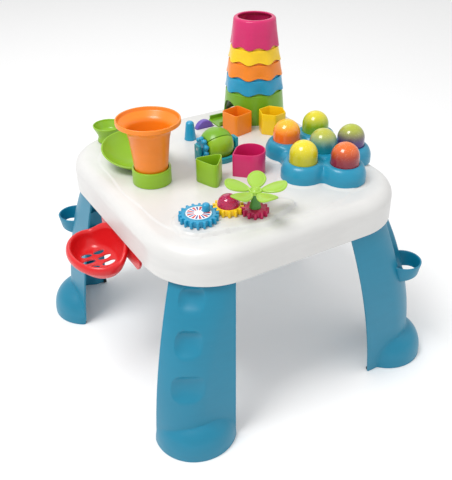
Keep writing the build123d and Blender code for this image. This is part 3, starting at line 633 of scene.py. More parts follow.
class Paint(Enum):
    """The table's finishes by part colour."""

    WHITE = Plastic("satin_white", (0.68, 0.675, 0.66), 0.40, 0.12, 0.05)
    COVER = Plastic("cover_grey", (0.62, 0.63, 0.63), 0.5, 0.2, 0.0)
    LEG = Plastic("leg_blue", (0.002, 0.205, 0.335), 0.40, 0.12, 0.03, 0.08)
    TEAL = Plastic("teal", (0.01, 0.30, 0.36), 0.32)
    RED = Plastic("ball_red", (0.66, 0.010, 0.013), 0.28, 0.06, 0.02)
    ORANGE = Plastic("warm_orange", (0.86, 0.23, 0.008), 0.32, 0.10, 0.02)
    GREEN = Plastic("leaf_green", (0.16, 0.38, 0.012), 0.32, 0.10, 0.02)
    LIME = Plastic("lime", (0.25, 0.47, 0.012), 0.32, 0.10, 0.02)
    PALE_GREEN = Plastic("pale_green", (0.32, 0.54, 0.05), 0.30, 0.08, 0.05)
    DARK_GREEN = Plastic("dark_green", (0.06, 0.26, 0.03), 0.34)
    YELLOW = Plastic("sun_yellow", (0.90, 0.58, 0.006), 0.30, 0.10, 0.02)
    PINK = Plastic("bright_pink", (0.60, 0.015, 0.13), 0.30, 0.10, 0.02)
    MAGENTA = Plastic("magenta", (0.52, 0.01, 0.09), 0.30)
    PURPLE = Plastic("purple", (0.14, 0.08, 0.42), 0.30)
    CLEAR = ClearPlastic("clear_magenta", (0.80, 0.05, 0.25))
    STEEL = Metal("zinc_steel", (0.62, 0.62, 0.62))
    CONTACT = Metal("nickel_plate", (0.62, 0.58, 0.50), 0.35)
    JACKET = Metal("cell_jacket", (0.10, 0.10, 0.12), 0.4)
    RUBBER = Rubber("black_rubber", (0.02, 0.02, 0.02))
    SILICONE = Rubber("pale_silicone", (0.55, 0.55, 0.52))
    CONE = Rubber("speaker_cone", (0.02, 0.02, 0.025))
    BOARD = Board("circuit_board")
    LAMP = Plastic("lamp_lens", (0.85, 0.82, 0.65), 0.15, 0.0, 0.3)
    POD = Plastic("pod_blue", (0.012, 0.26, 0.42), 0.32, 0.06, 0.03, 0.08)
    CUP_BLUE = Plastic("cup_blue", (0.01, 0.30, 0.52), 0.3)
    DIAL = DialFace("dial_bars", BLUE_GEAR_AT)


class Palette:
    """Materials made once each, on first use."""

    def __init__(self) -> None:
        """Start with no materials."""
        self.made: dict[str, bpy.types.Material] = {}

    def get(self, finish: object) -> bpy.types.Material:
        """The material of a finish.

        Args:
            finish: a Paint member or a finish object.

        Returns:
            The material.
        """
        value = finish.value if isinstance(finish, Enum) else finish
        if value.name not in self.made:
            self.made[value.name] = value.material()
        return self.made[value.name]


# ------------------------------------------------------------------ bench
@dataclass
class Bench:
    """The frame, the palette, and the operators that every sub-assembly uses."""

    frame: dict
    palette: Palette
    bodies: dict[str, str] = field(default_factory=dict)
    slots: dict[str, str] = field(default_factory=dict)
    done: set[str] = field(default_factory=set)

    def __post_init__(self) -> None:
        """Look up each CAD node's body and material slot."""
        record = self.frame["record"]
        for body, nodes in record["behaviour"]["bodies"].items():
            self.bodies.update({node: body for node in nodes})
        self.slots.update({part["node"]: part["material_slot"] for part in record["subparts"]})

    def clear(self) -> None:
        """Leave edit mode and deselect everything."""
        if bpy.context.object and bpy.context.object.mode != "OBJECT":
            bpy.ops.object.mode_set(mode="OBJECT")
        bpy.ops.object.select_all(action="DESELECT")

    def only(self, obj: bpy.types.Object) -> None:
        """Make one object the only selected and the active one.

        Args:
            obj: the object.
        """
        self.clear()
        obj.select_set(True)
        bpy.context.view_layer.objects.active = obj

    def apply(self, obj: bpy.types.Object, kind: str, **settings: object) -> None:
        """Add a modifier and apply it.

        Args:
            obj: the piece.
            kind: the modifier's type.
            settings: its settings.
        """
        self.only(obj)
        modifier = obj.modifiers.new(kind.lower(), kind)
        for key, value in settings.items():
            setattr(modifier, key, value)
        bpy.ops.object.modifier_apply(modifier=modifier.name)

    def smooth(self, obj: bpy.types.Object, angle: float = 35.0) -> None:
        """Shade smooth up to an angle in degrees."""
        self.only(obj)
        bpy.ops.object.shade_smooth_by_angle(angle=math.radians(angle))

    def dress(self, obj: bpy.types.Object, finish: object) -> None:
        """Give a piece one finish all over."""
        obj.data.materials.clear()
        obj.data.materials.append(self.palette.get(finish))

    def settle(self, obj: bpy.types.Object, name: str, finish: object, node: str,
               angle: float = 35.0) -> bpy.types.Object:
        """Finish a new piece that stands for a CAD node.

        Args:
            obj: the piece, with its place in its mesh.
            name: its name.
            finish: its finish.
            node: the node, whose body it takes.
            angle: smooth shading up to this angle.

        Returns:
            The piece.
        """
        self.smooth(obj, angle)
        self.dress(obj, finish)
        obj.name = name
        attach(obj, self.bodies[node])
        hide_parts(node)
        self.done.add(node)
        LOG.info("made %s on %s", name, self.bodies[node])
        return obj

    def smooth_copy(self, node: str, finish: object, bevel: float = 0.0,
                    angle: float = 35.0) -> bpy.types.Object:
        """A merged, smooth-shaded copy of a CAD node that stands for it.

        Args:
            node: the node.
            finish: its finish.
            bevel: rounding of its edges, in millimetres.
            angle: smooth shading up to this angle.

        Returns:
            The copy.
        """
        source = self.frame["nodes"][node]
        obj = bpy.data.objects.new(node + "_skin", source.data.copy())
        bpy.context.scene.collection.objects.link(obj)
        self.only(obj)
        bpy.ops.object.mode_set(mode="EDIT")
        bpy.ops.mesh.select_all(action="SELECT")
        bpy.ops.mesh.remove_doubles(threshold=1e-6)
        bpy.ops.mesh.dissolve_limited(angle_limit=math.radians(0.5))
        bpy.ops.object.mode_set(mode="OBJECT")
        if bevel:
            self.apply(obj, "BEVEL", width=bevel * MM, segments=2, limit_method="ANGLE",
                       angle_limit=math.radians(40), use_clamp_overlap=True)
        return self.settle(obj, node + "_skin", finish, node, angle)

    def rings(self, rows: list[list[Spot]], loop: bool = False, caps: bool = False) -> bpy.types.Object:
        """Extrude a ring of vertices through a row of outlines.

        Args:
            rows: rings of points in millimetres, all with the same count.
            loop: join the last ring to the first.
            caps: close the first and the last ring with a flat face.

        Returns:
            The closed piece, in object mode.
        """
        self.clear()
        count = len(rows[0])
        bpy.ops.mesh.primitive_circle_add(vertices=count, radius=0.01)
        obj = bpy.context.object
        bpy.ops.object.mode_set(mode="EDIT")
        for index, row in enumerate(rows + rows[:1] if loop else rows):
            if index:
                bpy.ops.mesh.extrude_region_move()
            mesh = bmesh.from_edit_mesh(obj.data)
            mesh.verts.ensure_lookup_table()
            for vertex, spot in zip(mesh.verts[-count:], row):
                vertex.co = metres(spot)
            bmesh.update_edit_mesh(obj.data)
        if caps:
            bpy.ops.mesh.edge_face_add()
            mesh = bmesh.from_edit_mesh(obj.data)
            mesh.verts.ensure_lookup_table()
            bpy.ops.mesh.select_all(action="DESELECT")
            for vertex in mesh.verts[:count]:
                vertex.select = True
            mesh.select_flush_mode()
            bmesh.update_edit_mesh(obj.data)
            bpy.ops.mesh.edge_face_add()
        bpy.ops.mesh.select_all(action="SELECT")
        bpy.ops.mesh.remove_doubles(threshold=4e-6)
        bpy.ops.mesh.normals_make_consistent(inside=False)
        bpy.ops.object.mode_set(mode="OBJECT")
        return obj

    def lathe(self, profile: list[Point], centre: Point = (0.0, 0.0), count: int = 96,
              shape: Callable[[float, float, float], Point] | None = None) -> bpy.types.Object:
        """A turned piece.

        Args:
            profile: closed line of (radius, z), or one that starts and ends on the axis.
            centre: its axis.
            count: vertices round it.
            shape: gives (radius, z) from (angle, radius, z), for a piece that isn't quite round.

        Returns:
            The piece.
        """
        angles = [math.tau * k / count for k in range(count)]
        rows = []
        for radius, z in profile:
            row = []
            for angle in angles:
                r, h = shape(angle, radius, z) if shape else (radius, z)
                row.append((centre[0] + r * math.cos(angle), centre[1] + r * math.sin(angle), h))
            rows.append(row)
        on_axis = profile[0][0] < 0.001 and profile[-1][0] < 0.001
        return self.rings(rows, loop=not on_axis)

    def wall(self, plan: list[Point], profile: list[Point], loop: bool = False) -> bpy.types.Object:
        """A piece with a plan of any outline.

        Args:
            plan: its outline, counterclockwise.
            profile: (inset, z) of its rings, closed by flat ends or joined in a loop.
            loop: join the last ring to the first.

        Returns:
            The piece.
        """
        rows = [[(x, y, z) for x, y in inset(plan, depth)] for depth, z in profile]
        return self.rings(rows, loop, caps=not loop)

    def join(self, *pieces: bpy.types.Object) -> bpy.types.Object:
        """Make several pieces one object.

        Args:
            pieces: the pieces.

        Returns:
            The one object.
        """
        self.clear()
        for piece in pieces:
            piece.select_set(True)
        bpy.context.view_layer.objects.active = pieces[0]
        bpy.ops.object.join()
        return bpy.context.object

    def cut(self, obj: bpy.types.Object, *tools: bpy.types.Object) -> None:
        """Take tools out of a piece, and delete them.

        Args:
            obj: the piece.
            tools: the shapes that are taken out of it.
        """
        for tool in tools:
            self.apply(obj, "BOOLEAN", operation="DIFFERENCE", solver="EXACT", object=tool)
            bpy.data.objects.remove(tool)

    def tilt(self, obj: bpy.types.Object, degrees: float, axis: str, centre: Spot) -> None:
        """Turn a piece's mesh about an axis.

        Args:
            obj: the piece.
            degrees: how far it turns.
            axis: X, Y or Z.
            centre: a point on the axis, in millimetres.
        """
        pivot = metres(centre)
        turn = Matrix.Rotation(math.radians(degrees), 4, axis)
        obj.data.transform(Matrix.Translation(pivot) @ turn @ Matrix.Translation(-pivot))


@dataclass
class Studio:
    """Camera, lights and floor; places and sizes are in metres, the camera's sensor in millimetres."""

    place: Spot = (-0.52515, -0.9185, 0.8643)
    look: Spot = (0.4408, 0.7190, -0.5373)
    sensor: float = 36.0
    focal_share: float = 695.56 / 480.0
    shift: Point = (-0.0304, 0.0002)
    aim: Spot = (0.0, 0.0, 0.25)
    surround: float = 0.76
    floor_side: float = 16.0
    floor_z: float = -0.0006

    def camera(self) -> None:
        """Put the camera before the front corner, above the table."""
        data = bpy.data.cameras.new("camera")
        data.sensor_width = self.sensor
        data.lens = self.sensor * self.focal_share
        data.shift_x, data.shift_y = self.shift
        data.clip_start, data.clip_end = 0.05, 30.0
        camera = bpy.data.objects.new("camera", data)
        bpy.context.scene.collection.objects.link(camera)
        camera.location = self.place
        camera.rotation_mode = "QUATERNION"
        camera.rotation_quaternion = Vector(self.look).to_track_quat("-Z", "Y")
        bpy.context.scene.camera = camera

    def area(self, name: str, place: Spot, size: float, power: float) -> None:
        """One square soft light aimed at the table.

        Args:
            name: its name.
            place: where it hangs, in metres.
            size: its side, in metres.
            power: its power, in watts.
        """
        data = bpy.data.lights.new(name, "AREA")
        data.shape = "SQUARE"
        data.size = size
        data.energy = power
        light = bpy.data.objects.new(name, data)
        bpy.context.scene.collection.objects.link(light)
        light.location = place
        aim = Vector(self.aim) - Vector(place)
        light.rotation_mode = "QUATERNION"
        light.rotation_quaternion = aim.to_track_quat("-Z", "Y")

    def lights(self) -> None:
        """Soft key light, weak fill, and an even white surround."""
        self.area("key_light", (-1.0, -0.2, 2.3), 0.9, 33.0)
        self.area("fill_light", (1.8, -1.4, 1.5), 1.6, 3.0)
        self.area("back_light", (0.6, 1.9, 1.8), 1.4, 4.0)
        world = bpy.data.worlds.new("surround")
        bpy.context.scene.world = world
        world.use_nodes = True
        background = world.node_tree.nodes["Background"]
        background.inputs["Color"].default_value = (1.0, 1.0, 1.0, 1.0)
        background.inputs["Strength"].default_value = self.surround
        bpy.context.scene.view_settings.view_transform = "Standard"

    def floor(self, bench: Bench) -> None:
        """Plain pale floor, far larger than the view.

        Args:
            bench: the operators.
        """
        bench.clear()
        bpy.ops.mesh.primitive_plane_add(size=self.floor_side, location=(0.0, 0.0, self.floor_z))
        plane = bpy.context.object
        plane.name = "floor"
        g = Graph("pale_floor")
        g.set(Base_Color=(0.97, 0.97, 0.97, 1.0), Roughness=0.9, Specular_IOR_Level=0.1)
        plane.data.materials.append(g.material)
        plane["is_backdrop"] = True

    def build(self, bench: Bench) -> None:
        """Set up the camera, the lights and the floor.

        Args:
            bench: the operators.
        """
        self.camera()
        self.lights()
        self.floor(bench)


# ------------------------------------------------------------------ table
def capsule(x: float, y: float, start: Spot, end: Spot) -> float:
    """Distance of a point (x, y) outside a tapered bar between two discs.

    Args:
        x: the point's first coordinate.
        y: its second.
        start: the first disc, as (x, y, radius).
        end: the second disc.

    Returns:
        The distance, less than 0 inside the bar.
    """
    run = Vector((end[0] - start[0], end[1] - start[1]))
    share = max(0.0, min(1.0, Vector((x - start[0], y - start[1])).dot(run) / run.length_squared))
    spot = (start[0] + share * run.x, start[1] + share * run.y)
    return math.hypot(x - spot[0], y - spot[1]) - (start[2] + share * (end[2] - start[2]))


@dataclass
class TableTop:
    """White moulded top: rounded skirt, wavy crease, gear plateau and the pad under the key pod."""

    half: Point = (218.0, 233.0)
    corner: float = 102.0
    edge_z: float = 339.0
    shoulder: float = 21.0
    wall: float = 3.0
    panel: Point = (194.0, 209.0)
    panel_power: float = 3.2
    panel_rise: float = 1.5
    panel_edge: float = 1.8
    panel_wave: float = 5.0
    panel_waves: int = 10
    plateau_discs: tuple[Spot, ...] = (
        (*BLUE_GEAR_AT, 38.9), (*MAGENTA_GEAR_AT, 29.6), (2.0, -168.0, 15.0))
    plateau_rise: float = 5.5
    plateau_edge: float = 4.0
    pad_lobe: float = 38.0
    pad_disc: Spot = (133.0, -86.0, 62.0)
    pad_rise: float = 2.2
    pad_edge: float = 5.0
    well: Spot = (0.0, 38.0, 31.5)
    slot: tuple[Point, Point] = ((21.8, 149.8), (60.2, 164.2))
    lip: float = 0.8
    hem: Spot = (2.0, 10.0, 20.0)
    points: int = 400
    arc_steps: int = 24
    shoulder_steps: int = 12
    deck_rows: int = 120
    under_rows: int = 12

    def plan(self) -> list[Point]:
        """Outline of the skirt, counterclockwise.

        Returns:
            Its points.
        """
        hx, hy, r = *self.half, self.corner
        line: list[Point] = []
        middles = ((hx - r, hy - r), (r - hx, hy - r), (r - hx, r - hy), (hx - r, r - hy))
        for quarter, (cx, cy) in enumerate(middles):
            for step in range(self.arc_steps + 1):
                angle = math.radians(90 * quarter + 90 * step / self.arc_steps)
                line.append((cx + r * math.cos(angle), cy + r * math.sin(angle)))
        return resampled(line, self.points)

    def crease(self, x: float, y: float) -> float:
        """How far a point lies inside the wavy crease.

        Args:
            x: its first coordinate.
            y: its second.

        Returns:
            The distance, less than 0 outside the crease.
        """
        angle = math.atan2(y, x)
        c, s = abs(math.cos(angle)), abs(math.sin(angle))
        square = (c ** self.panel_power + s ** self.panel_power) ** (-1 / self.panel_power)
        wave = self.panel_wave * (math.cos(self.panel_waves * angle) - 1) / 2
        edge = math.hypot((self.panel[0] + wave) * c, (self.panel[1] + wave) * s) * square
        return edge - math.hypot(x, y)

    def plateau(self, x: float, y: float) -> float:
        """How far a point (x, y) lies outside the gear plateau."""
        a, b, c = self.plateau_discs
        return min(capsule(x, y, a, b), capsule(x, y, b, c), capsule(x, y, a, c))

    def pad(self, x: float, y: float) -> float:
        """How far a point lies outside the lobed pad under the keys.

        Args:
            x: its first coordinate.
            y: its second.

        Returns:
            The distance, less than 0 on the pad.
        """
        lobes = min(math.hypot(x - kx, y - ky) for kx, ky in KEYS.values()) - self.pad_lobe
        px, py, disc = self.pad_disc
        return min(lobes, math.hypot(x - px, y - py) - disc)

    def height(self, x: float, y: float) -> float:
        """Level of the deck at a place.

        Args:
            x: its first coordinate.
            y: its second.

        Returns:
            The level.
        """
        level = self.edge_z + self.panel_rise * soft_step(self.crease(x, y) / self.panel_edge)
        level += self.plateau_rise * soft_step(0.5 - self.plateau(x, y) / self.plateau_edge)
        return level + self.pad_rise * soft_step(0.75 - self.pad(x, y) / self.pad_edge)

    def skin(self, depth: float) -> list[list[Spot]]:
        """Rings of the skin, from the rim to the middle.

        Args:
            depth: how far under the outside they lie.

        Returns:
            The rings.
        """
        plan = self.plan()
        lip = self.lip if depth == 0 else 0.0
        rows = [[(x, y, RIM_Z) for x, y in inset(plan, depth + lip)]]
        for z in (RIM_Z + lip, *(RIM_Z + rise for rise in self.hem), self.edge_z - self.shoulder):
            rows.append([(x, y, z) for x, y in inset(plan, depth)])
        round_r = self.shoulder - depth
        for step in range(1, self.shoulder_steps + 1):
            angle = math.radians(90 * step / self.shoulder_steps)
            z = self.edge_z - self.shoulder + round_r * math.sin(angle)
            rows.append([(x, y, z) for x, y in inset(plan, depth + round_r * (1 - math.cos(angle)))])
        last = rows[-1]
        count = self.deck_rows if depth == 0 else self.under_rows
        for step in range(1, count + 1):
            share = 1 - step / count
            row = []
            for x, y, _ in last:
                place = (x * share, y * share)
                row.append((*place, self.height(*place) - depth))
            rows.append(row)
        return rows

    def build(self, bench: Bench) -> None:
        """Make the top.

        Args:
            bench: the operators.
        """
        outside, under = self.skin(0.0), self.skin(self.wall)
        top = bench.rings(list(reversed(outside)) + under)
        x, y, radius = self.well
        (left, near), (right, far) = self.slot
        low, high = DECK - 20.5, DECK + 19.5
        well = bench.lathe([(0, low), (radius, low), (radius, high), (0, high)], (x, y), 72)
        slot = bench.wall([(right, near), (right, far), (left, far), (left, near)], [(0, low), (0, high)])
        bench.cut(top, well, slot)
        bench.settle(top, "table_top", Paint.WHITE, "top_shell", 40.0)


@dataclass
class Leg:
    """Blue leg shell: curved splay, round toe, ribs inside, and scoops or a carrying ring on its corner."""

    node: str
    sign: Point
    ringed: bool
    flank_x: Spot
    flank_y: Spot
    toe: Spot
    lean: float = 1.0
    reach_x: Spot = (252.0, 244.0, 211.0)
    reach_y: Spot = (252.0, 248.0, 226.0)
    corner: Spot = (62.0, 66.0, 97.0)
    knee_z: float = 140.0
    top_z: float = RIM_Z
    plug_z: float = 302.0
    wall: float = 3.2
    columns: int = 42
    spacing: Point = (0.55, 0.45)
    row_steps: Point = (2.0, 5.0)
    dense_z: Point = (76.0, 156.0)
    dimples: tuple[tuple[float, float, float, float], ...] = (
        (260.0, 8.0, 40.0, 36.0), (197.0, 12.0, 42.0, 42.0), (124.0, 17.0, 52.0, 48.0))
    dimple_depth: float = 10.5
    dimple_power: float = 2.7
    dimple_fall: float = 2.4
    dimple_slope: Spot = (0.8, 0.2, 0.15)
    toe_height: float = 60.0
    toe_power: float = 2.6
    toe_blend: float = 1.2
    niche_half: float = 22.0
    niche_depth: float = 11.0
    niche_edge: float = 8.0
    niche_margin: float = 4.0
    ring_z: float = 196.0
    ring_height: float = 34.0
    ring_radii: Point = (31.0, 25.0)
    ring_out: float = 5.0
    ring_sweep: float = 256.0
    ring_steps: int = 48
    ring_lift: float = 12.0
    ring_flare: float = 0.17
    ring_band: float = 3.0
    ring_round: float = 1.2
    ribs: tuple[float, ...] = (60.0, 100.0, 140.0, 180.0, 220.0)
    rib_half: float = 1.2
    rib_depth: float = 11.0
    rib_overlap: float = 0.6
    rib_share: float = 0.80
    pad_places: Spot = (0.915, 0.95, 0.985)
    pad_rows: tuple[Point, ...] = ((0.0, 0.8), (0.8, 0.0), (5.2, 0.0), (6.0, 0.8))
    pad_overlap: float = 0.2
    pad_depth: float = 4.0

    def level(self, values: Spot, z: float) -> float:
        """A size at a height, on a parabola.

        Args:
            values: the size at the foot, at the knee and at the top.
            z: the height.

        Returns:
            The size there.
        """
        z = min(z, self.top_z)
        low, mid, high = values
        a = z * (z - self.top_z) / (self.knee_z * (self.knee_z - self.top_z))
        b = z * (z - self.knee_z) / (self.top_z * (self.top_z - self.knee_z))
        return low * (1 - a - b) + mid * a + high * b

    def arcs(self) -> list[float]:
        """Places along the skin from one edge to the other, -1 to 1, closer together at the corner."""
        even = [k / self.columns for k in range(-self.columns, self.columns + 1)]
        return [self.spacing[0] * t + self.spacing[1] * t ** 3 for t in even]

    def skin_point(self, t: float, z: float) -> tuple[Vector, Vector]:
        """Point of the plain skin and its outward direction in plan.

        Args:
            t: place along the skin, -1 to 1.
            z: height.

        Returns:
            The point and the direction.
        """
        rx, ry = self.level(self.reach_x, z), self.level(self.reach_y, z)
        flank, r = self.level(self.flank_y if t > 0 else self.flank_x, z), self.level(self.corner, z)
        quarter = math.pi * r / 4
        run = abs(t) * (quarter + flank - r)
        side = 1 if t > 0 else -1
        if run <= quarter:
            angle = math.pi / 4 + side * run / r
            out = Vector((math.cos(angle), math.sin(angle), 0))
            return Vector((rx - r, ry - r, z)) + out * r, out
        over = run - quarter
        if side > 0:
            return Vector((rx - r - over, ry, z)), Vector((0, 1, 0))
        return Vector((rx, ry - r - over, z)), Vector((1, 0, 0))

    def across(self, t: float, z: float) -> float:
        """Distance of a place from the corner line, along the skin."""
        flank, r = self.level(self.flank_y if t > 0 else self.flank_x, z), self.level(self.corner, z)
        return t * (math.pi * r / 4 + flank - r)

    def press(self, u: float, z: float) -> float:
        """How deep the skin is pressed in at a place.

        Args:
            u: distance from the corner line, along the skin.
            z: height.

        Returns:
            The depth.
        """
        return self.niche(u, z) if self.ringed else self.dimple(u, z)

    def niche(self, u: float, z: float) -> float:
        """Depth of the arched niche above the carrying ring.

        Args:
            u: distance from the corner line, along the skin.
            z: height.

        Returns:
            The depth.
        """
        share = (z - self.ring_z) / (self.top_z - self.niche_margin - self.ring_z)
        if z < self.ring_z:
            share = 0.0 if z > self.ring_z - self.ring_height + self.niche_margin else 2.0
        if share >= 1:
            return 0.0
        open_half = self.niche_half * math.sqrt(max(0.0, 1 - share ** 2))
        if open_half <= 1:
            return 0.0
        return self.niche_depth * math.sqrt(1 - share) * soft_step((open_half - abs(u)) / self.niche_edge)

    def dimple(self, u: float, z: float) -> float:
        """Depth of the bowl-shaped scoops.

        Args:
            u: distance from the corner line, along the skin.
            z: height.

        Returns:
            The depth of the deepest scoop there.
        """
        deepest = 0.0
        base, up, aside = self.dimple_slope
        for middle, off, width, height in self.dimples:
            v, h = (z - middle) / (height / 2), (u - off * self.lean) * self.lean / (width / 2)
            ring = (abs(h) ** self.dimple_power + abs(v) ** self.dimple_power) ** (1 / self.dimple_power)
            if ring < 1:
                bowl = self.dimple_depth * (1 - ring ** self.dimple_fall)
                deepest = max(deepest, bowl * (base + up * v - aside * h))
        return deepest

    def outside(self, t: float, z: float) -> Vector:
        """Point of the finished outer skin, with its scoops or niche and its round toe.

        Args:
            t: place along the skin, -1 to 1.
            z: height.

        Returns:
            The point.
        """
        spot, out = self.skin_point(t, z)
        spot = spot - out * self.press(self.across(t, z), z)
        fall = max(0.0, 1 - (z / self.toe_height) ** self.toe_power)
        radius = self.toe[2] * fall ** (1 / self.toe_power)
        arm = spot - Vector((self.toe[0], self.toe[1], z))
        along = arm.dot(out)
        inside = along * along - arm.length_squared + radius * radius
        if inside > 0:
            push = -along + math.sqrt(inside)
            spot = spot + out * soft_max(push, 0.0, self.toe_blend)
        return spot

    def inner(self, t: float, z: float, depth: float) -> Vector:
        """Point at a depth inside the finished skin."""
        return self.outside(t, z) - self.skin_point(t, z)[1] * depth

    def mirror(self, spot: Vector) -> Spot:
        """The point in this leg's own corner."""
        return (spot.x * self.sign[0], spot.y * self.sign[1], spot.z)

    def levels(self) -> list[float]:
        """Heights of the rings, closer together at pressed places and the toe.

        Returns:
            The heights, from the floor up.
        """
        heights, z = [], 0.0
        toe, niche = self.dense_z
        fine, coarse = self.row_steps
        while z < self.top_z - 1:
            heights.append(z)
            scooped = any(abs(z - middle) < height / 2 + fine for middle, _, _, height in self.dimples)
            z += fine if z < toe or scooped or (self.ringed and z > niche) else coarse
        return heights + [self.top_z, self.plug_z]

    def strip(self, z: float, near: float, far: float, share: float = 1.0) -> list[Spot]:
        """Closed outline of a strip along the skin, between two depths.

        Args:
            z: its height.
            near: the smaller depth, 0 for the skin itself.
            far: the larger depth.
            share: how much of the skin's length it takes, from the corner.

        Returns:
            The outline.
        """
        places = [t * share for t in self.arcs()]
        outer = [self.mirror(self.outside(t, z) if near == 0 else self.inner(t, z, near)) for t in places]
        back = [self.mirror(self.inner(t, z, far)) for t in reversed(places)]
        return outer + back

    def build(self, bench: Bench) -> None:
        """Make the leg.

        Args:
            bench: the operators.
        """
        parts = [bench.rings([self.strip(z, 0.0, self.wall) for z in self.levels()], caps=True)]
        near = self.wall - self.rib_overlap
        for z in self.ribs:
            rows = [self.strip(z + half, near, self.rib_depth, self.rib_share)
                    for half in (-self.rib_half, self.rib_half)]
            parts.append(bench.rings(rows, caps=True))
        if self.ringed:
            parts.append(self.ring(bench))
        bench.settle(bench.join(*parts), self.node + "_shell", Paint.LEG, self.node, 40.0)

    def pads(self, bench: Bench) -> list[bpy.types.Object]:
        """Rubber pads inside the two edges, down to the floor.

        Args:
            bench: the operators.

        Returns:
            The two pads.
        """
        made = []
        for places in (tuple(-t for t in reversed(self.pad_places)), self.pad_places):
            rows = []
            for z, gap in self.pad_rows:
                front, back = self.wall - self.pad_overlap, self.wall + self.pad_depth - gap
                near = [self.mirror(self.inner(t, z, front)) for t in places]
                far = [self.mirror(self.inner(t, z, back)) for t in reversed(places)]
                rows.append(near + far)
            made.append(bench.rings(rows, caps=True))
        return made

    def ring(self, bench: Bench) -> bpy.types.Object:
        """The carrying ring: a tapered band that runs into the leg at both ends.

        Args:
            bench: the operators.

        Returns:
            The ring.
        """
        spot, _ = self.skin_point(0.0, self.ring_z)
        cx, cy = spot.x + self.ring_out * DIAGONAL, spot.y + self.ring_out * DIAGONAL
        head, band, corner = self.ring_radii[0], self.ring_band, self.ring_round
        rows = []
        for step in range(self.ring_steps + 1):
            turn = math.radians(-self.ring_sweep / 2 + self.ring_sweep * step / self.ring_steps)
            angle = math.pi / 4 + turn
            lift = self.ring_lift * (1 + math.cos(turn)) / 2
            low = self.ring_z - self.ring_height + lift
            foot = self.ring_radii[1] + lift * self.ring_flare
            profile = rounded([
                (head, self.ring_z, corner), (foot, low, corner),
                (foot - band, low, corner), (head - band, self.ring_z, corner)], 3)
            rows.append([self.mirror(Vector((cx + r * math.cos(angle), cy + r * math.sin(angle), z)))
                         for r, z in profile])
        return bench.rings(rows, caps=True)


@dataclass
class Legs:
    """The four legs and their rubber pads."""

    front: Spot = (114.0, 109.0, 90.0)
    narrow: Spot = (56.0, 48.5, 52.5)
    side: Spot = (115.0, 126.0, 121.0)
    rear: Spot = (90.0, 88.0, 90.0)
    left_reach: Spot = (245.0, 234.0, 211.0)

    def build(self, bench: Bench) -> None:
        """Make the legs.

        Args:
            bench: the operators.
        """
        legs = (
            Leg("front_leg", (-1, -1), False, self.narrow, self.front, (189.0, 211.0, 66.0)),
            Leg("back_leg", (1, 1), False, self.front, self.narrow, (211.0, 189.0, 66.0), -1.0),
            Leg("right_leg", (1, -1), True, self.rear, self.side, (208.0, 210.0, 65.0)),
            Leg("left_leg", (-1, 1), True, self.side, self.rear, (212.0, 194.0, 67.0), 1.0, self.left_reach),
        )
        pads = []
        for leg in legs:
            leg.build(bench)
            pads += leg.pads(bench)
        bench.settle(bench.join(*pads), "rubber_pads", Paint.RUBBER, "foot_pads")


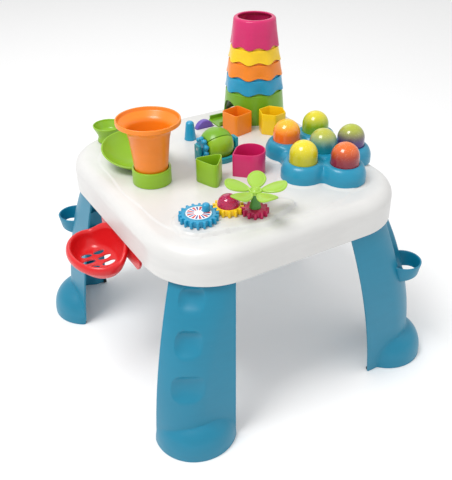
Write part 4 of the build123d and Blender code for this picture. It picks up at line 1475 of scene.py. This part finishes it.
# ------------------------------------------------------------------ keys
@dataclass
class KeyPod:
    """Blue pillowed housing with a raised ring round each key."""

    middle: Point = (131.0, -84.0)
    foot_z: float = 342.0
    top_z: float = 370.0
    lobe: float = 36.0
    flat: float = 26.5
    roll: float = 11.0
    hole: float = 23.6
    saddle: float = 7.0
    shoulder: float = 12.0
    shoulder_steps: int = 8
    wall: float = 2.4
    web: float = 20.0
    core: float = 50.0
    valley: float = 6.0
    merge: float = 3.0
    foot_rise: float = 8.0
    eaves: float = 11.0
    nearest: float = 40.0
    search_step: float = 0.4
    search_steps: int = 200
    outline_passes: int = 3
    roof_rows: int = 56
    under_rows: int = 16
    points: int = 300

    def outline(self) -> list[float]:
        """Distance of the outline from the middle, for each direction.

        Returns:
            The distances, evened out between neighbours.
        """
        reaches = []
        for k in range(self.points):
            angle = math.tau * k / self.points
            c, s = math.cos(angle), math.sin(angle)
            reach = self.nearest
            for step in range(self.search_steps):
                r = self.nearest + step * self.search_step
                if self.field(self.middle[0] + r * c, self.middle[1] + r * s) < 0:
                    reach = r
            reaches.append(reach)
        for _ in range(self.outline_passes):
            reaches = [(reaches[k - 1] + 2 * reaches[k] + reaches[(k + 1) % self.points]) / 4
                       for k in range(self.points)]
        return reaches

    def field(self, x: float, y: float) -> float:
        """Distance outside the outline, with soft valleys between its lobes.

        Args:
            x: a point's first coordinate.
            y: its second.

        Returns:
            The distance, less than 0 inside.
        """
        outer = [KEYS[name] for name in ("orange", "lemon", "red", "purple", "lime")]
        web = min(capsule(x, y, (*a, self.web), (*b, self.web))
                  for a, b in zip(outer, outer[1:] + outer[:1]))
        edge = min(web, math.hypot(x - self.middle[0], y - self.middle[1]) - self.core)
        for kx, ky in outer:
            edge = -soft_max(-edge, self.lobe - math.hypot(x - kx, y - ky), self.valley)
        return edge

    def level(self, x: float, y: float) -> float:
        """Height of the roof at a place.

        Args:
            x: its first coordinate.
            y: its second.

        Returns:
            The height.
        """
        roof = self.top_z - self.saddle
        for kx, ky in KEYS.values():
            over = min(self.roll, max(0.0, math.hypot(x - kx, y - ky) - self.flat))
            ring = self.top_z - self.roll + math.sqrt(self.roll ** 2 - over ** 2)
            roof = soft_max(roof, ring, self.merge)
        return min(roof, self.top_z)

    def rows(self, depth: float) -> list[list[Spot]]:
        """Rings from the foot to the middle.

        Args:
            depth: how far inside the outer skin they lie.

        Returns:
            The rings.
        """
        reaches, rows = self.outline(), []
        turns = [math.tau * k / self.points for k in range(self.points)]

        def ring(gap: float, z: float | None, share: float = 1.0) -> list[Spot]:
            """One ring.

            Args:
                gap: how far it lies inside the outline.
                z: its height, or None for the roof's own.
                share: its scale about the middle.

            Returns:
                The ring.
            """
            row = []
            for reach, turn in zip(reaches, turns):
                r = (reach - gap) * share
                x, y = self.middle[0] + r * math.cos(turn), self.middle[1] + r * math.sin(turn)
                row.append((x, y, self.level(x, y) - depth if z is None else z))
            return row

        base = self.top_z - self.saddle - self.eaves
        rows += [ring(depth, self.foot_z), ring(depth, self.foot_z + self.foot_rise), ring(depth, base)]
        for step in range(1, self.shoulder_steps + 1):
            angle = math.radians(90 * step / self.shoulder_steps)
            gap = depth + self.shoulder * (1 - math.cos(angle))
            rows.append([(x, y, base + (z - base) * math.sin(angle)) for x, y, z in ring(gap, None)])
        count = self.roof_rows if depth == 0 else self.under_rows
        rows += [ring(depth + self.shoulder, None, 1 - step / count) for step in range(1, count + 1)]
        return rows

    def build(self, bench: Bench) -> None:
        """Make the housing.

        Args:
            bench: the operators.
        """
        pod = bench.rings(list(reversed(self.rows(0.0))) + self.rows(self.wall))
        low, high = self.top_z - 20.0, self.top_z + 10.0
        drill = [(0, low), (self.hole, low), (self.hole, high), (0, high)]
        drills = [bench.lathe(drill, place, 72) for place in KEYS.values()]
        bench.cut(pod, *drills)
        bench.settle(pod, "key_housing", Paint.POD, "key_pod", 40.0)


# ------------------------------------------------------------------ ball run
@dataclass
class BallRun:
    """Orange funnel, its collar with the catching basin, and the waisted bowl at the corner."""

    funnel_at: Point = (-136.0, 10.0)
    basin_at: Spot = (-133.0, 74.0, 408.4)
    basin_sphere: float = 69.08
    basin_rim: float = 54.0
    basin_tilt: float = 13.0
    basin_wall: float = 2.5
    basin_steps: int = 24
    bore: float = 29.0
    bowl_at: Point = (-133.0, 196.0)

    def funnel(self, bench: Bench) -> None:
        """Trumpet with a broad flare and a thin upright lip.

        Args:
            bench: the operators.
        """
        outside = [(25.0, 346.8, 0.8), (32.0, 414.0, 20.0), (35.5, 431.0, 18.0), (48.5, 441.0, 1.5)]
        lip = [(51.0, 441.0, 0.8), (51.0, 448.0, 1.2), (48.6, 448.0, 1.2), (47.0, 442.6, 3.0)]
        inside = [(33.5, 433.5, 14.0), (30.2, 414.5, 1.0), (29.2, 413.0, 1.0), (22.5, 346.8, 0.8)]
        profile = rounded(outside + lip + inside, 6)
        cone = bench.lathe(profile, self.funnel_at, 128)
        bench.settle(cone, "ball_funnel", Paint.ORANGE, "funnel")

    def ramp(self, bench: Bench) -> None:
        """Collar and tilted dish.

        Args:
            bench: the operators.
        """
        sleeve = rounded([(27.8, 341.0, 0.5), (31.5, 341.0, 0.5), (31.5, 366.5, 1.3), (27.8, 366.5, 1.3)], 4)
        collar = bench.lathe(sleeve, self.funnel_at, 112)
        ledge = bench.lathe([(23.5, 341.0), (28.5, 341.0), (28.5, 346.5), (23.5, 346.5)], self.funnel_at, 80)
        x, y, z = self.basin_at
        edge = math.asin(self.basin_rim / self.basin_sphere)
        dish: list[Point] = []
        for step in range(self.basin_steps + 1):
            angle = edge * step / self.basin_steps
            dish.append((self.basin_sphere * math.sin(angle), z - self.basin_sphere * math.cos(angle)))
        inner = self.basin_sphere - self.basin_wall
        lip_r, lip_z = dish[-1]
        dish += [(lip_r + 0.6, lip_z + 1.0), (lip_r - 0.4, lip_z + 1.9), (lip_r - 1.6, lip_z + 1.6)]
        for step in range(self.basin_steps, -1, -1):
            angle = edge * step / self.basin_steps
            dish.append((inner * math.sin(angle), z - inner * math.cos(angle)))
        basin = bench.lathe(dish, (x, y), 128)
        bench.tilt(basin, self.basin_tilt, "X", (x, y, z))
        bore = bench.lathe([(0, 341.2), (self.bore, 341.2), (self.bore, 460), (0, 460)], self.funnel_at, 80)
        below = bench.wall([(-20, 10), (-20, 140), (-220, 140), (-220, 10)], [(0, 300), (0, DECK + 0.2)])
        bench.cut(basin, bore, below)
        ramp = bench.join(collar, ledge, basin)
        bench.settle(ramp, "collar_and_basin", Paint.LIME, "ball_ramp")

    def bowl(self, bench: Bench) -> None:
        """Open bowl with a waist.

        Args:
            bench: the operators.
        """
        low = DECK
        profile = rounded([
            (0.0, low, 0), (21.5, low, 1.0), (19.3, low + 7, 5.0), (20.0, low + 12, 5.0),
            (27.0, low + 26, 4.0), (27.4, low + 29, 0.9), (25.4, low + 29, 0.9), (24.6, low + 26, 4.0),
            (18.0, low + 14.5, 6.0), (13.0, low + 13, 3.0), (0.0, low + 13, 0)], 5, closed=False)
        bowl = bench.lathe(profile, self.bowl_at, 96)
        bench.settle(bowl, "corner_bowl", Paint.LIME, "ball_bowl")

    def build(self, bench: Bench) -> None:
        """Make the ball run.

        Args:
            bench: the operators.
        """
        self.funnel(bench)
        self.ramp(bench)
        self.bowl(bench)


# ------------------------------------------------------------------ basket
@dataclass
class Basket:
    """Red scoop: thick rolled rim, smooth wall that rises to the skirt, slotted floor, bar with hooks."""

    middle: Point = (-249.0, -12.0)
    half: Point = (44.0, 62.0)
    rim_z: float = 262.0
    floor_z: float = 234.0
    rise: float = 16.0
    floor_share: float = 0.25
    slot_pitch: Point = (13.0, 18.5)
    slot_half: Point = (11.5, 6.2)
    end_slot_half: float = 9.5
    end_slot_share: float = 0.80
    bar_x: tuple[float, ...] = (-213.2, -212.6, -209.8, -209.2)
    hooks_y: Point = (-69.5, 29.5)
    points: int = 160

    def lift(self, x: float) -> float:
        """How much higher the rim is at a place, towards the skirt."""
        return self.rise * soft_step((x - self.middle[0] - 8.0) / 30.0)

    def row(self, grow: float, drop: float, level: float | None = None) -> list[Spot]:
        """One ring of the scoop.

        Args:
            grow: how far it is grown in plan.
            drop: how far it lies below the rim.
            level: its own height instead, for the floor.

        Returns:
            The ring.
        """
        spots = []
        for k in range(self.points):
            angle = math.tau * k / self.points
            x = self.middle[0] + (self.half[0] + grow) * math.cos(angle)
            y = self.middle[1] + (self.half[1] + grow) * math.sin(angle)
            z = self.rim_z + self.lift(x) - drop
            if level is not None:
                z = level + self.lift(x) * self.floor_share
            spots.append((x, y, min(z, RIM_Z - 1.0)))
        return spots

    def scoop(self, bench: Bench) -> bpy.types.Object:
        """Rim, wall and floor.

        Args:
            bench: the operators.

        Returns:
            The scoop.
        """
        under = ((-43.9, -2.6), (-30.0, -2.6), (-18.0, -2.0), (-12.0, 0.0), (-7.0, 5.0))
        above = ((-12.0, 6.0), (-15.5, 2.0), (-21.0, 0.0), (-31.0, 0.0), (-43.9, 0.0))
        rows = [self.row(grow, 0, self.floor_z + rise) for grow, rise in under]
        rows.append(self.row(-3.4, 15.0))
        for step in range(15):
            angle = math.radians(-100 + 290 * step / 14)
            rows.append(self.row(-1.4 + 4.9 * math.cos(angle), 8.0 - 8.0 * math.sin(angle)))
        rows.append(self.row(-9.0, 17.0))
        rows += [self.row(grow, 0, self.floor_z + rise) for grow, rise in above]
        return bench.rings(rows, caps=True)

    def slots(self, bench: Bench) -> list[bpy.types.Object]:
        """Tools for the parallel oval slots in the floor.

        Args:
            bench: the operators.

        Returns:
            The tools, one a slot.
        """
        tools = []
        angles = [math.tau * k / 24 for k in range(24)]
        half, width = self.slot_half
        for dx in (-self.slot_pitch[0], self.slot_pitch[0]):
            for k in range(4):
                end = k in (0, 3)
                length = self.end_slot_half if end else half
                x = self.middle[0] + dx * (self.end_slot_share if end else 1.0)
                y = self.middle[1] + self.slot_pitch[1] * (k - 1.5)
                plan = [(x + length * math.cos(a), y + width * math.sin(a)) for a in angles]
                tools.append(bench.wall(plan, [(0, self.floor_z - 8), (0, self.floor_z + 12)]))
        return tools

    def bar(self, bench: Bench) -> list[bpy.types.Object]:
        """Bar inside the skirt and its two hooks.

        Args:
            bench: the operators.

        Returns:
            The bar and the hooks.
        """
        face = rounded([
            (-95.0, 262.0, 5), (-86.0, 249.5, 5), (46.0, 249.5, 5), (55.0, 262.0, 5), (55.0, 281.3, 1),
            (-95.0, 281.3, 1)], 4)
        parts = [bench.rings([[(x, y, z) for y, z in face] for x in self.bar_x], caps=True)]
        profile = [(0.4, 279.5), (0, 280.0), (0, 294.6), (0.4, 295.2)]
        for y in self.hooks_y:
            plan = rounded([
                (-211.2, y - 12, 1), (-211.2, y + 12, 1), (-214.2, y + 12, 1), (-214.2, y - 12, 1)], 3)
            parts.append(bench.wall(list(reversed(plan)), profile))
        return parts

    def build(self, bench: Bench) -> None:
        """Make the basket.

        Args:
            bench: the operators.
        """
        scoop = self.scoop(bench)
        bench.cut(scoop, *self.slots(bench))
        basket = bench.join(scoop, *self.bar(bench))
        bench.settle(basket, "red_scoop", Paint.RED, "ball_basket")


# ------------------------------------------------------------------ cup tower
@dataclass
class Cup:
    """One cup of the tower: tapered skirt with a soft wave, and the neck that the next one sits on."""

    node: str
    finish: Paint
    foot: Point
    head: Point
    below: Point
    wave: float = 1.6
    waves: int = 8
    crown: bool = False
    middle: Point = TOWER_AT
    wall: float = 2.0
    skirt: float = 12.0
    swing_end: float = 0.75
    lift_end: float = 0.35
    edge_lift: float = 2.2

    def ripple(self, angle: float, radius: float, z: float) -> Point:
        """Wavy skirt: it swings out and lifts along its lower edge.

        Args:
            angle: direction from the axis.
            radius: a profile point's distance from the axis.
            z: its height.

        Returns:
            The point's own radius and height.
        """
        low, high = self.foot[1], self.head[1]
        share = (z - low) / (high - low)
        if share > 1.0 or radius < self.foot[0] - self.skirt:
            return radius, z
        swing = math.cos(self.waves * angle)
        fade = 1 - soft_step(share / self.swing_end)
        lift = self.edge_lift * (1 - swing) * (1 - soft_step(share / self.lift_end))
        return radius + self.wave * swing * fade, z + lift

    def build(self, bench: Bench) -> None:
        """Make the cup.

        Args:
            bench: the operators.
        """
        (foot, low), (edge, step) = self.foot, self.head
        ledge_r, ledge_z = self.below
        slope = (foot - edge) / (step - low)
        outer = [(foot - 0.5, low, 0), (foot, low + 0.6, 0), (foot - slope * 2, low + 2, 0)]
        outer += [(foot - slope * (z - low), z, 0.0)
                  for z in (low + 5, low + 8, low + 12, low + 0.6 * (step - low), step - 3.5)]
        neck, peak = edge - NECK_IN, step + NECK_RISE
        if self.crown:
            top = [(edge - 0.4, step - 2.0, 2.4), (edge - 3.0, step, 2.0), (31.0, step, 0.9),
                   (31.0, step - 2.2, 0.9), (edge - 3.0, step - 7.0, 3.0)]
        else:
            top = [(edge, step, 0.9), (neck, step, 0.8), (neck - 1, peak, 0.9), (neck - 3, peak, 0.9),
                   (neck - 2, step - 2, 0.6)]
        inside = [(foot - slope * (ledge_z + 7 - low) - self.wall, ledge_z + 7, 1.0),
                  (ledge_r, ledge_z + 1.5, 0.4), (ledge_r, ledge_z, 0.4),
                  (foot - slope * (ledge_z - low) - self.wall, ledge_z, 0.6),
                  (foot - self.wall, low + 0.4, 0)]
        cup = bench.lathe(rounded(outer + top + inside, 4), self.middle, 160, self.ripple)
        bench.settle(cup, self.node + "_body", self.finish, self.node, 40.0)


@dataclass
class CupTower:
    """Green base with its arched door and tongue, and the four cups above it."""

    steps: tuple[float, ...] = (396.0, 424.0, 452.0, 478.0, 530.0)
    radii: tuple[float, ...] = (54.0, 51.5, 48.0, 44.0, 38.5)
    middle: Point = TOWER_AT
    foot: float = 59.0
    door: float = 23.0
    door_steps: int = 24
    tongue_from: float = 52.0
    tongue_to: float = 91.0
    tongue_half: float = 20.0
    rail_to: float = 88.0
    rail_off: float = 18.75
    rail_half: float = 1.25

    def base(self, bench: Bench) -> None:
        """Base cup with the door cut through it.

        Args:
            bench: the operators.
        """
        step = self.steps[0]
        neck, peak = self.radii[0] - NECK_IN, step + NECK_RISE
        profile = rounded([
            (self.foot, DECK, 0.6), (self.radii[0], step, 1.2), (neck, step, 0.8), (neck - 1, peak, 0.9),
            (neck - 3, peak, 0.9), (neck - 2, step - 2, 1.0), (self.foot - 2.5, DECK, 0.6)], 5)
        shell = bench.lathe(profile, self.middle, 128)
        x, y = self.middle
        arch = [(y + self.door, DECK + 2.5), (y + self.door, DECK + 15.0)]
        for k in range(self.door_steps + 1):
            angle = math.pi * k / self.door_steps
            arch.append((y + self.door * math.cos(angle), DECK + 15.5 + self.door * math.sin(angle)))
        arch += [(y - self.door, DECK + 15.0), (y - self.door, DECK + 2.5)]
        rows = [[(x - depth, a, b) for a, b in arch] for depth in (20.0, 80.0)]
        bench.cut(shell, bench.rings(rows, caps=True))
        root, tip, half = x - self.tongue_from, x - self.tongue_to, self.tongue_half
        floor = rounded([(tip, y - half, 5), (root, y - half, 0), (root, y + half, 0), (tip, y + half, 5)], 5)
        tongue = [bench.wall(floor, [(0.3, DECK), (0, DECK + 0.3), (0, DECK + 2.1), (0.5, DECK + 2.5)])]
        tip = x - self.rail_to
        for side in (-self.rail_off, self.rail_off):
            near, far = y + side - self.rail_half, y + side + self.rail_half
            rail = rounded([(tip, near, 1), (root, near, 1), (root, far, 1), (tip, far, 1)], 3)
            tongue.append(bench.wall(rail, [(0, DECK + 0.5), (0, DECK + 8.4), (0.5, DECK + 9.0)]))
        base = bench.join(shell, *tongue)
        bench.settle(base, "tower_foot", Paint.GREEN, "tower_base")

    def build(self, bench: Bench) -> None:
        """Make the tower.

        Args:
            bench: the operators.
        """
        self.base(bench)
        colours = (("blue_cup", Paint.CUP_BLUE), ("orange_cup", Paint.ORANGE), ("yellow_cup", Paint.YELLOW),
                   ("pink_cup", Paint.PINK))
        for k, (node, finish) in enumerate(colours, start=1):
            last = k == len(colours)
            foot = (self.radii[k - 1] + 0.6, self.steps[k - 1] + 0.4)
            below = (self.radii[k - 1] - 6.4, self.steps[k - 1] + NECK_RISE)
            head = (self.radii[k], self.steps[k])
            Cup(node, finish, foot, head, below, 1.4 if last else 1.6, crown=last).build(bench)


# ------------------------------------------------------------------ gear deck
@dataclass
class Flower:
    """Propeller of five broad petals with a pressed outline, round a ringed hub."""

    place: Point = MAGENTA_GEAR_AT
    hub_z: float = 381.3
    reach: float = 47.5
    width: float = 16.0
    root: float = 4.0
    swell: Point = (0.42, 0.60)
    bulge: float = 1.12
    rise: float = 9.0
    droop: float = 0.35
    petals: int = 5
    turn: float = 54.0
    points: int = 72

    def petal(self, turn: float) -> list[list[Spot]]:
        """Rings of one petal, scaled towards its middle.

        Args:
            turn: its direction, in radians.

        Returns:
            The rings, from the underside over the edge to the top.
        """
        middle, half = self.reach / 2 + self.root, self.reach / 2 - self.root
        plan = []
        for k in range(self.points):
            angle = math.tau * k / self.points
            along = middle + half * math.cos(angle)
            swell = math.sin(angle) * (self.swell[0] + self.swell[1] * along / self.reach)
            plan.append((along, self.width * self.bulge * swell))
        profile = [(15.2, -1.2), (2.0, -1.4), (0.5, -1.0), (0.0, 0.0), (0.5, 1.1), (1.6, 1.6), (3.0, 1.5),
                   (4.0, 1.0), (5.0, 1.0), (6.2, 1.4), (10.0, 1.6), (15.2, 1.8)]
        c, s = math.cos(turn), math.sin(turn)
        base = self.hub_z + 1.5
        rows = []
        for depth, z in profile:
            row = []
            for along, across in plan:
                x = middle + (along - middle) * (1 - depth / half * 0.9)
                y = across * (1 - depth / (self.width * self.bulge))
                lift = z + self.rise * (x / self.reach) ** 2 * (1.0 - self.droop * (y / self.width) ** 2)
                row.append((self.place[0] + x * c - y * s, self.place[1] + x * s + y * c, base + lift))
            rows.append(row)
        return rows

    def build(self, bench: Bench) -> None:
        """Make the flower and its stem.

        Args:
            bench: the operators.
        """
        turns = [math.radians(self.turn + 360 * k / self.petals) for k in range(self.petals)]
        parts = [bench.rings(self.petal(turn), caps=True) for turn in turns]
        z = self.hub_z
        parts.append(bench.lathe(rounded([
            (0, z - 1, 0), (10.0, z - 1, 0.8), (10.0, z + 4.6, 1.2), (7.2, z + 4.6, 1.0), (6.6, z + 3.2, 0.8),
            (4.4, z + 5.6, 1.6), (0, z + 7.6, 0)], 5, closed=False), self.place, 64))
        flower = bench.join(*parts)
        bench.settle(flower, "flower_head", Paint.PALE_GREEN, "flower")
        stem = bench.lathe(rounded([
            (0, 356.3, 0), (9.0, 356.3, 0.8), (7.6, 362.0, 3.0), (5.6, 372.0, 3.0), (5.5, z - 1.0, 0.3),
            (0, z - 1.0, 0)], 5, closed=False), self.place, 56)
        bench.settle(stem, "flower_post", Paint.DARK_GREEN, "flower_stem")


@dataclass
class ShapeCups:
    """Four open cups with rounded lips."""

    low: float = 339.8
    height: float = 40.0
    wall: float = 2.0
    drop_place: Spot = (17.0, -44.0, 46.0)
    drop_radius: float = 25.0
    points: int = 160

    def drop(self) -> list[Point]:
        """Round outline with one corner.

        Returns:
            The outline, in place.
        """
        x, y, degrees = self.drop_place
        turn, radius = math.radians(degrees), self.drop_radius
        line: list[Spot] = []
        for step in range(37):
            angle = math.radians(180 + 270 * step / 36)
            line.append((radius * math.cos(angle), radius * math.sin(angle), 0.0))
        line.append((-radius, radius, 3.0))
        c, s = math.cos(turn), math.sin(turn)
        return [(x + a * c - b * s, y + a * s + b * c) for a, b in rounded(line)]

    def build(self, bench: Bench) -> None:
        """Make the cups.

        Args:
            bench: the operators.
        """
        cups = (
            ("triangle_cup", polygon(3, 31.2, 9.0, (-56.0, -42.0, 20.0)), Paint.LIME),
            ("drop_cup", self.drop(), Paint.PINK),
            ("square_cup", polygon(4, 29.2, 7.0, (84.0, 108.0, 57.0)), Paint.ORANGE),
            ("hexagon_cup", polygon(6, 26.0, 4.0, (140.0, 76.0, 10.0)), Paint.YELLOW),
        )
        z, top, w = self.low, self.low + self.height, self.wall
        profile = [(12.0, z), (1.0, z), (0.3, z + 0.3), (0.0, z + 1.0), (0.0, z + 12), (0.0, z + 26),
                   (0.0, top - 0.9), (0.3, top - 0.25), (0.9, top), (w - 0.7, top), (w - 0.2, top - 0.3),
                   (w, top - 0.9), (w, z + 20), (w, z + 4.5), (w + 0.5, z + 3.0), (w + 1.8, z + 2.5),
                   (11.0, z + 2.5)]
        for node, plan, finish in cups:
            cup = bench.wall(resampled(plan, self.points), profile)
            bench.settle(cup, node + "_block", finish, node)


@dataclass
class StopPost:
    """Tapered peg behind the funnel."""

    place: Point = (-7.0, 122.0)
    height: float = 34.0

    def build(self, bench: Bench) -> None:
        """Make the peg.

        Args:
            bench: the operators.
        """
        top = DECK + self.height
        peg = bench.lathe(rounded([
            (0, DECK, 0), (11.0, DECK, 0.8), (10.2, DECK + 4, 2.0), (7.2, top - 3, 4.0), (4.5, top, 3.0),
            (0, top, 0)], 5, closed=False), self.place, 64)
        bench.settle(peg, "ball_stop", Paint.CUP_BLUE, "stop_post")


@dataclass(frozen=True)
class Lamp:
    """Colours of one lit key: its skirt and its crown."""

    deep: Spot
    bright: Spot


LAMPS: dict[str, Lamp] = {
    "orange": Lamp((0.80, 0.13, 0.008), (0.95, 0.50, 0.02)),
    "lemon": Lamp((0.42, 0.40, 0.008), (0.80, 0.66, 0.02)),
    "red": Lamp((0.20, 0.004, 0.02), (0.85, 0.16, 0.015)),
    "purple": Lamp((0.06, 0.015, 0.14), (0.42, 0.48, 0.03)),
    "lime": Lamp((0.14, 0.32, 0.01), (0.72, 0.62, 0.02)),
    "teal": Lamp((0.005, 0.20, 0.26), (0.50, 0.50, 0.03)),
}

# Nodes that keep the solid's own form, with their finish and the rounding of their edges.
PLAIN: dict[str, tuple[Paint, float]] = {
    "bottom_cover": (Paint.COVER, 0.0), "battery_tray": (Paint.COVER, 0.0),
    "battery_door": (Paint.COVER, 0.4), "blue_gear": (Paint.CUP_BLUE, 0.7),
    "yellow_gear": (Paint.YELLOW, 0.7), "magenta_gear": (Paint.MAGENTA, 0.7),
    "dial_insert": (Paint.DIAL, 0.4), "dial_knob": (Paint.CUP_BLUE, 0.0),
    "clear_dome": (Paint.CLEAR, 0.0), "spinner_cradle": (Paint.TEAL, 0.8),
    "bead_wheel": (Paint.CUP_BLUE, 0.5), "spinner_blue": (Paint.CUP_BLUE, 1.0),
    "spinner_green": (Paint.GREEN, 1.0), "spinner_lime": (Paint.LIME, 1.0),
    "purple_roller": (Paint.PURPLE, 0.0), "cover_screws": (Paint.STEEL, 0.0),
    "battery_door_screw": (Paint.STEEL, 0.0), "spinner_axle": (Paint.STEEL, 0.4),
    "roller_pin": (Paint.STEEL, 0.3), "gear_pins": (Paint.STEEL, 0.3),
    "circuit_board": (Paint.BOARD, 0.0), "key_lamps": (Paint.LAMP, 0.5),
    "speaker": (Paint.CONE, 0.0), "battery_cells": (Paint.JACKET, 0.4),
    "battery_contacts": (Paint.CONTACT, 0.0),
}


@dataclass
class Keys:
    """Six lit domes and their rubber springs."""

    crown_z: float = 405.0
    skirt_z: float = 372.0

    def build(self, bench: Bench) -> None:
        """Make the keys.

        Args:
            bench: the operators.
        """
        for colour, lamp in LAMPS.items():
            finish = Dome(colour + "_glow", lamp.deep, lamp.bright, self.skirt_z, self.crown_z, KEYS[colour])
            bench.smooth_copy(colour + "_key", finish, angle=40.0)
            bench.smooth_copy(colour + "_key_spring", Paint.SILICONE)


def corners() -> list[list[float]]:
    """The shown object's lowest and highest corner, as plain numbers."""
    return [[float(c) for c in corner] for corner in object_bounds()]


def main() -> None:
    """Build the scene."""
    logging.basicConfig(level=logging.INFO, format="%(name)s %(message)s")
    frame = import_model()
    bench = Bench(frame, Palette())
    Studio().build(bench)
    TableTop().build(bench)
    Legs().build(bench)
    for group in (KeyPod(), Keys(), BallRun(), Basket(), CupTower(), Flower(), ShapeCups(), StopPost()):
        group.build(bench)
    for node, (finish, bevel) in PLAIN.items():
        bench.smooth_copy(node, finish, bevel)
    missed = sorted(set(frame["nodes"]) - bench.done)
    if missed:
        raise RuntimeError(f"nodes without a piece: {missed}")
    bench.clear()
    LOG.info("%d nodes dressed", len(bench.done))


if __name__ == "__main__":
    main()
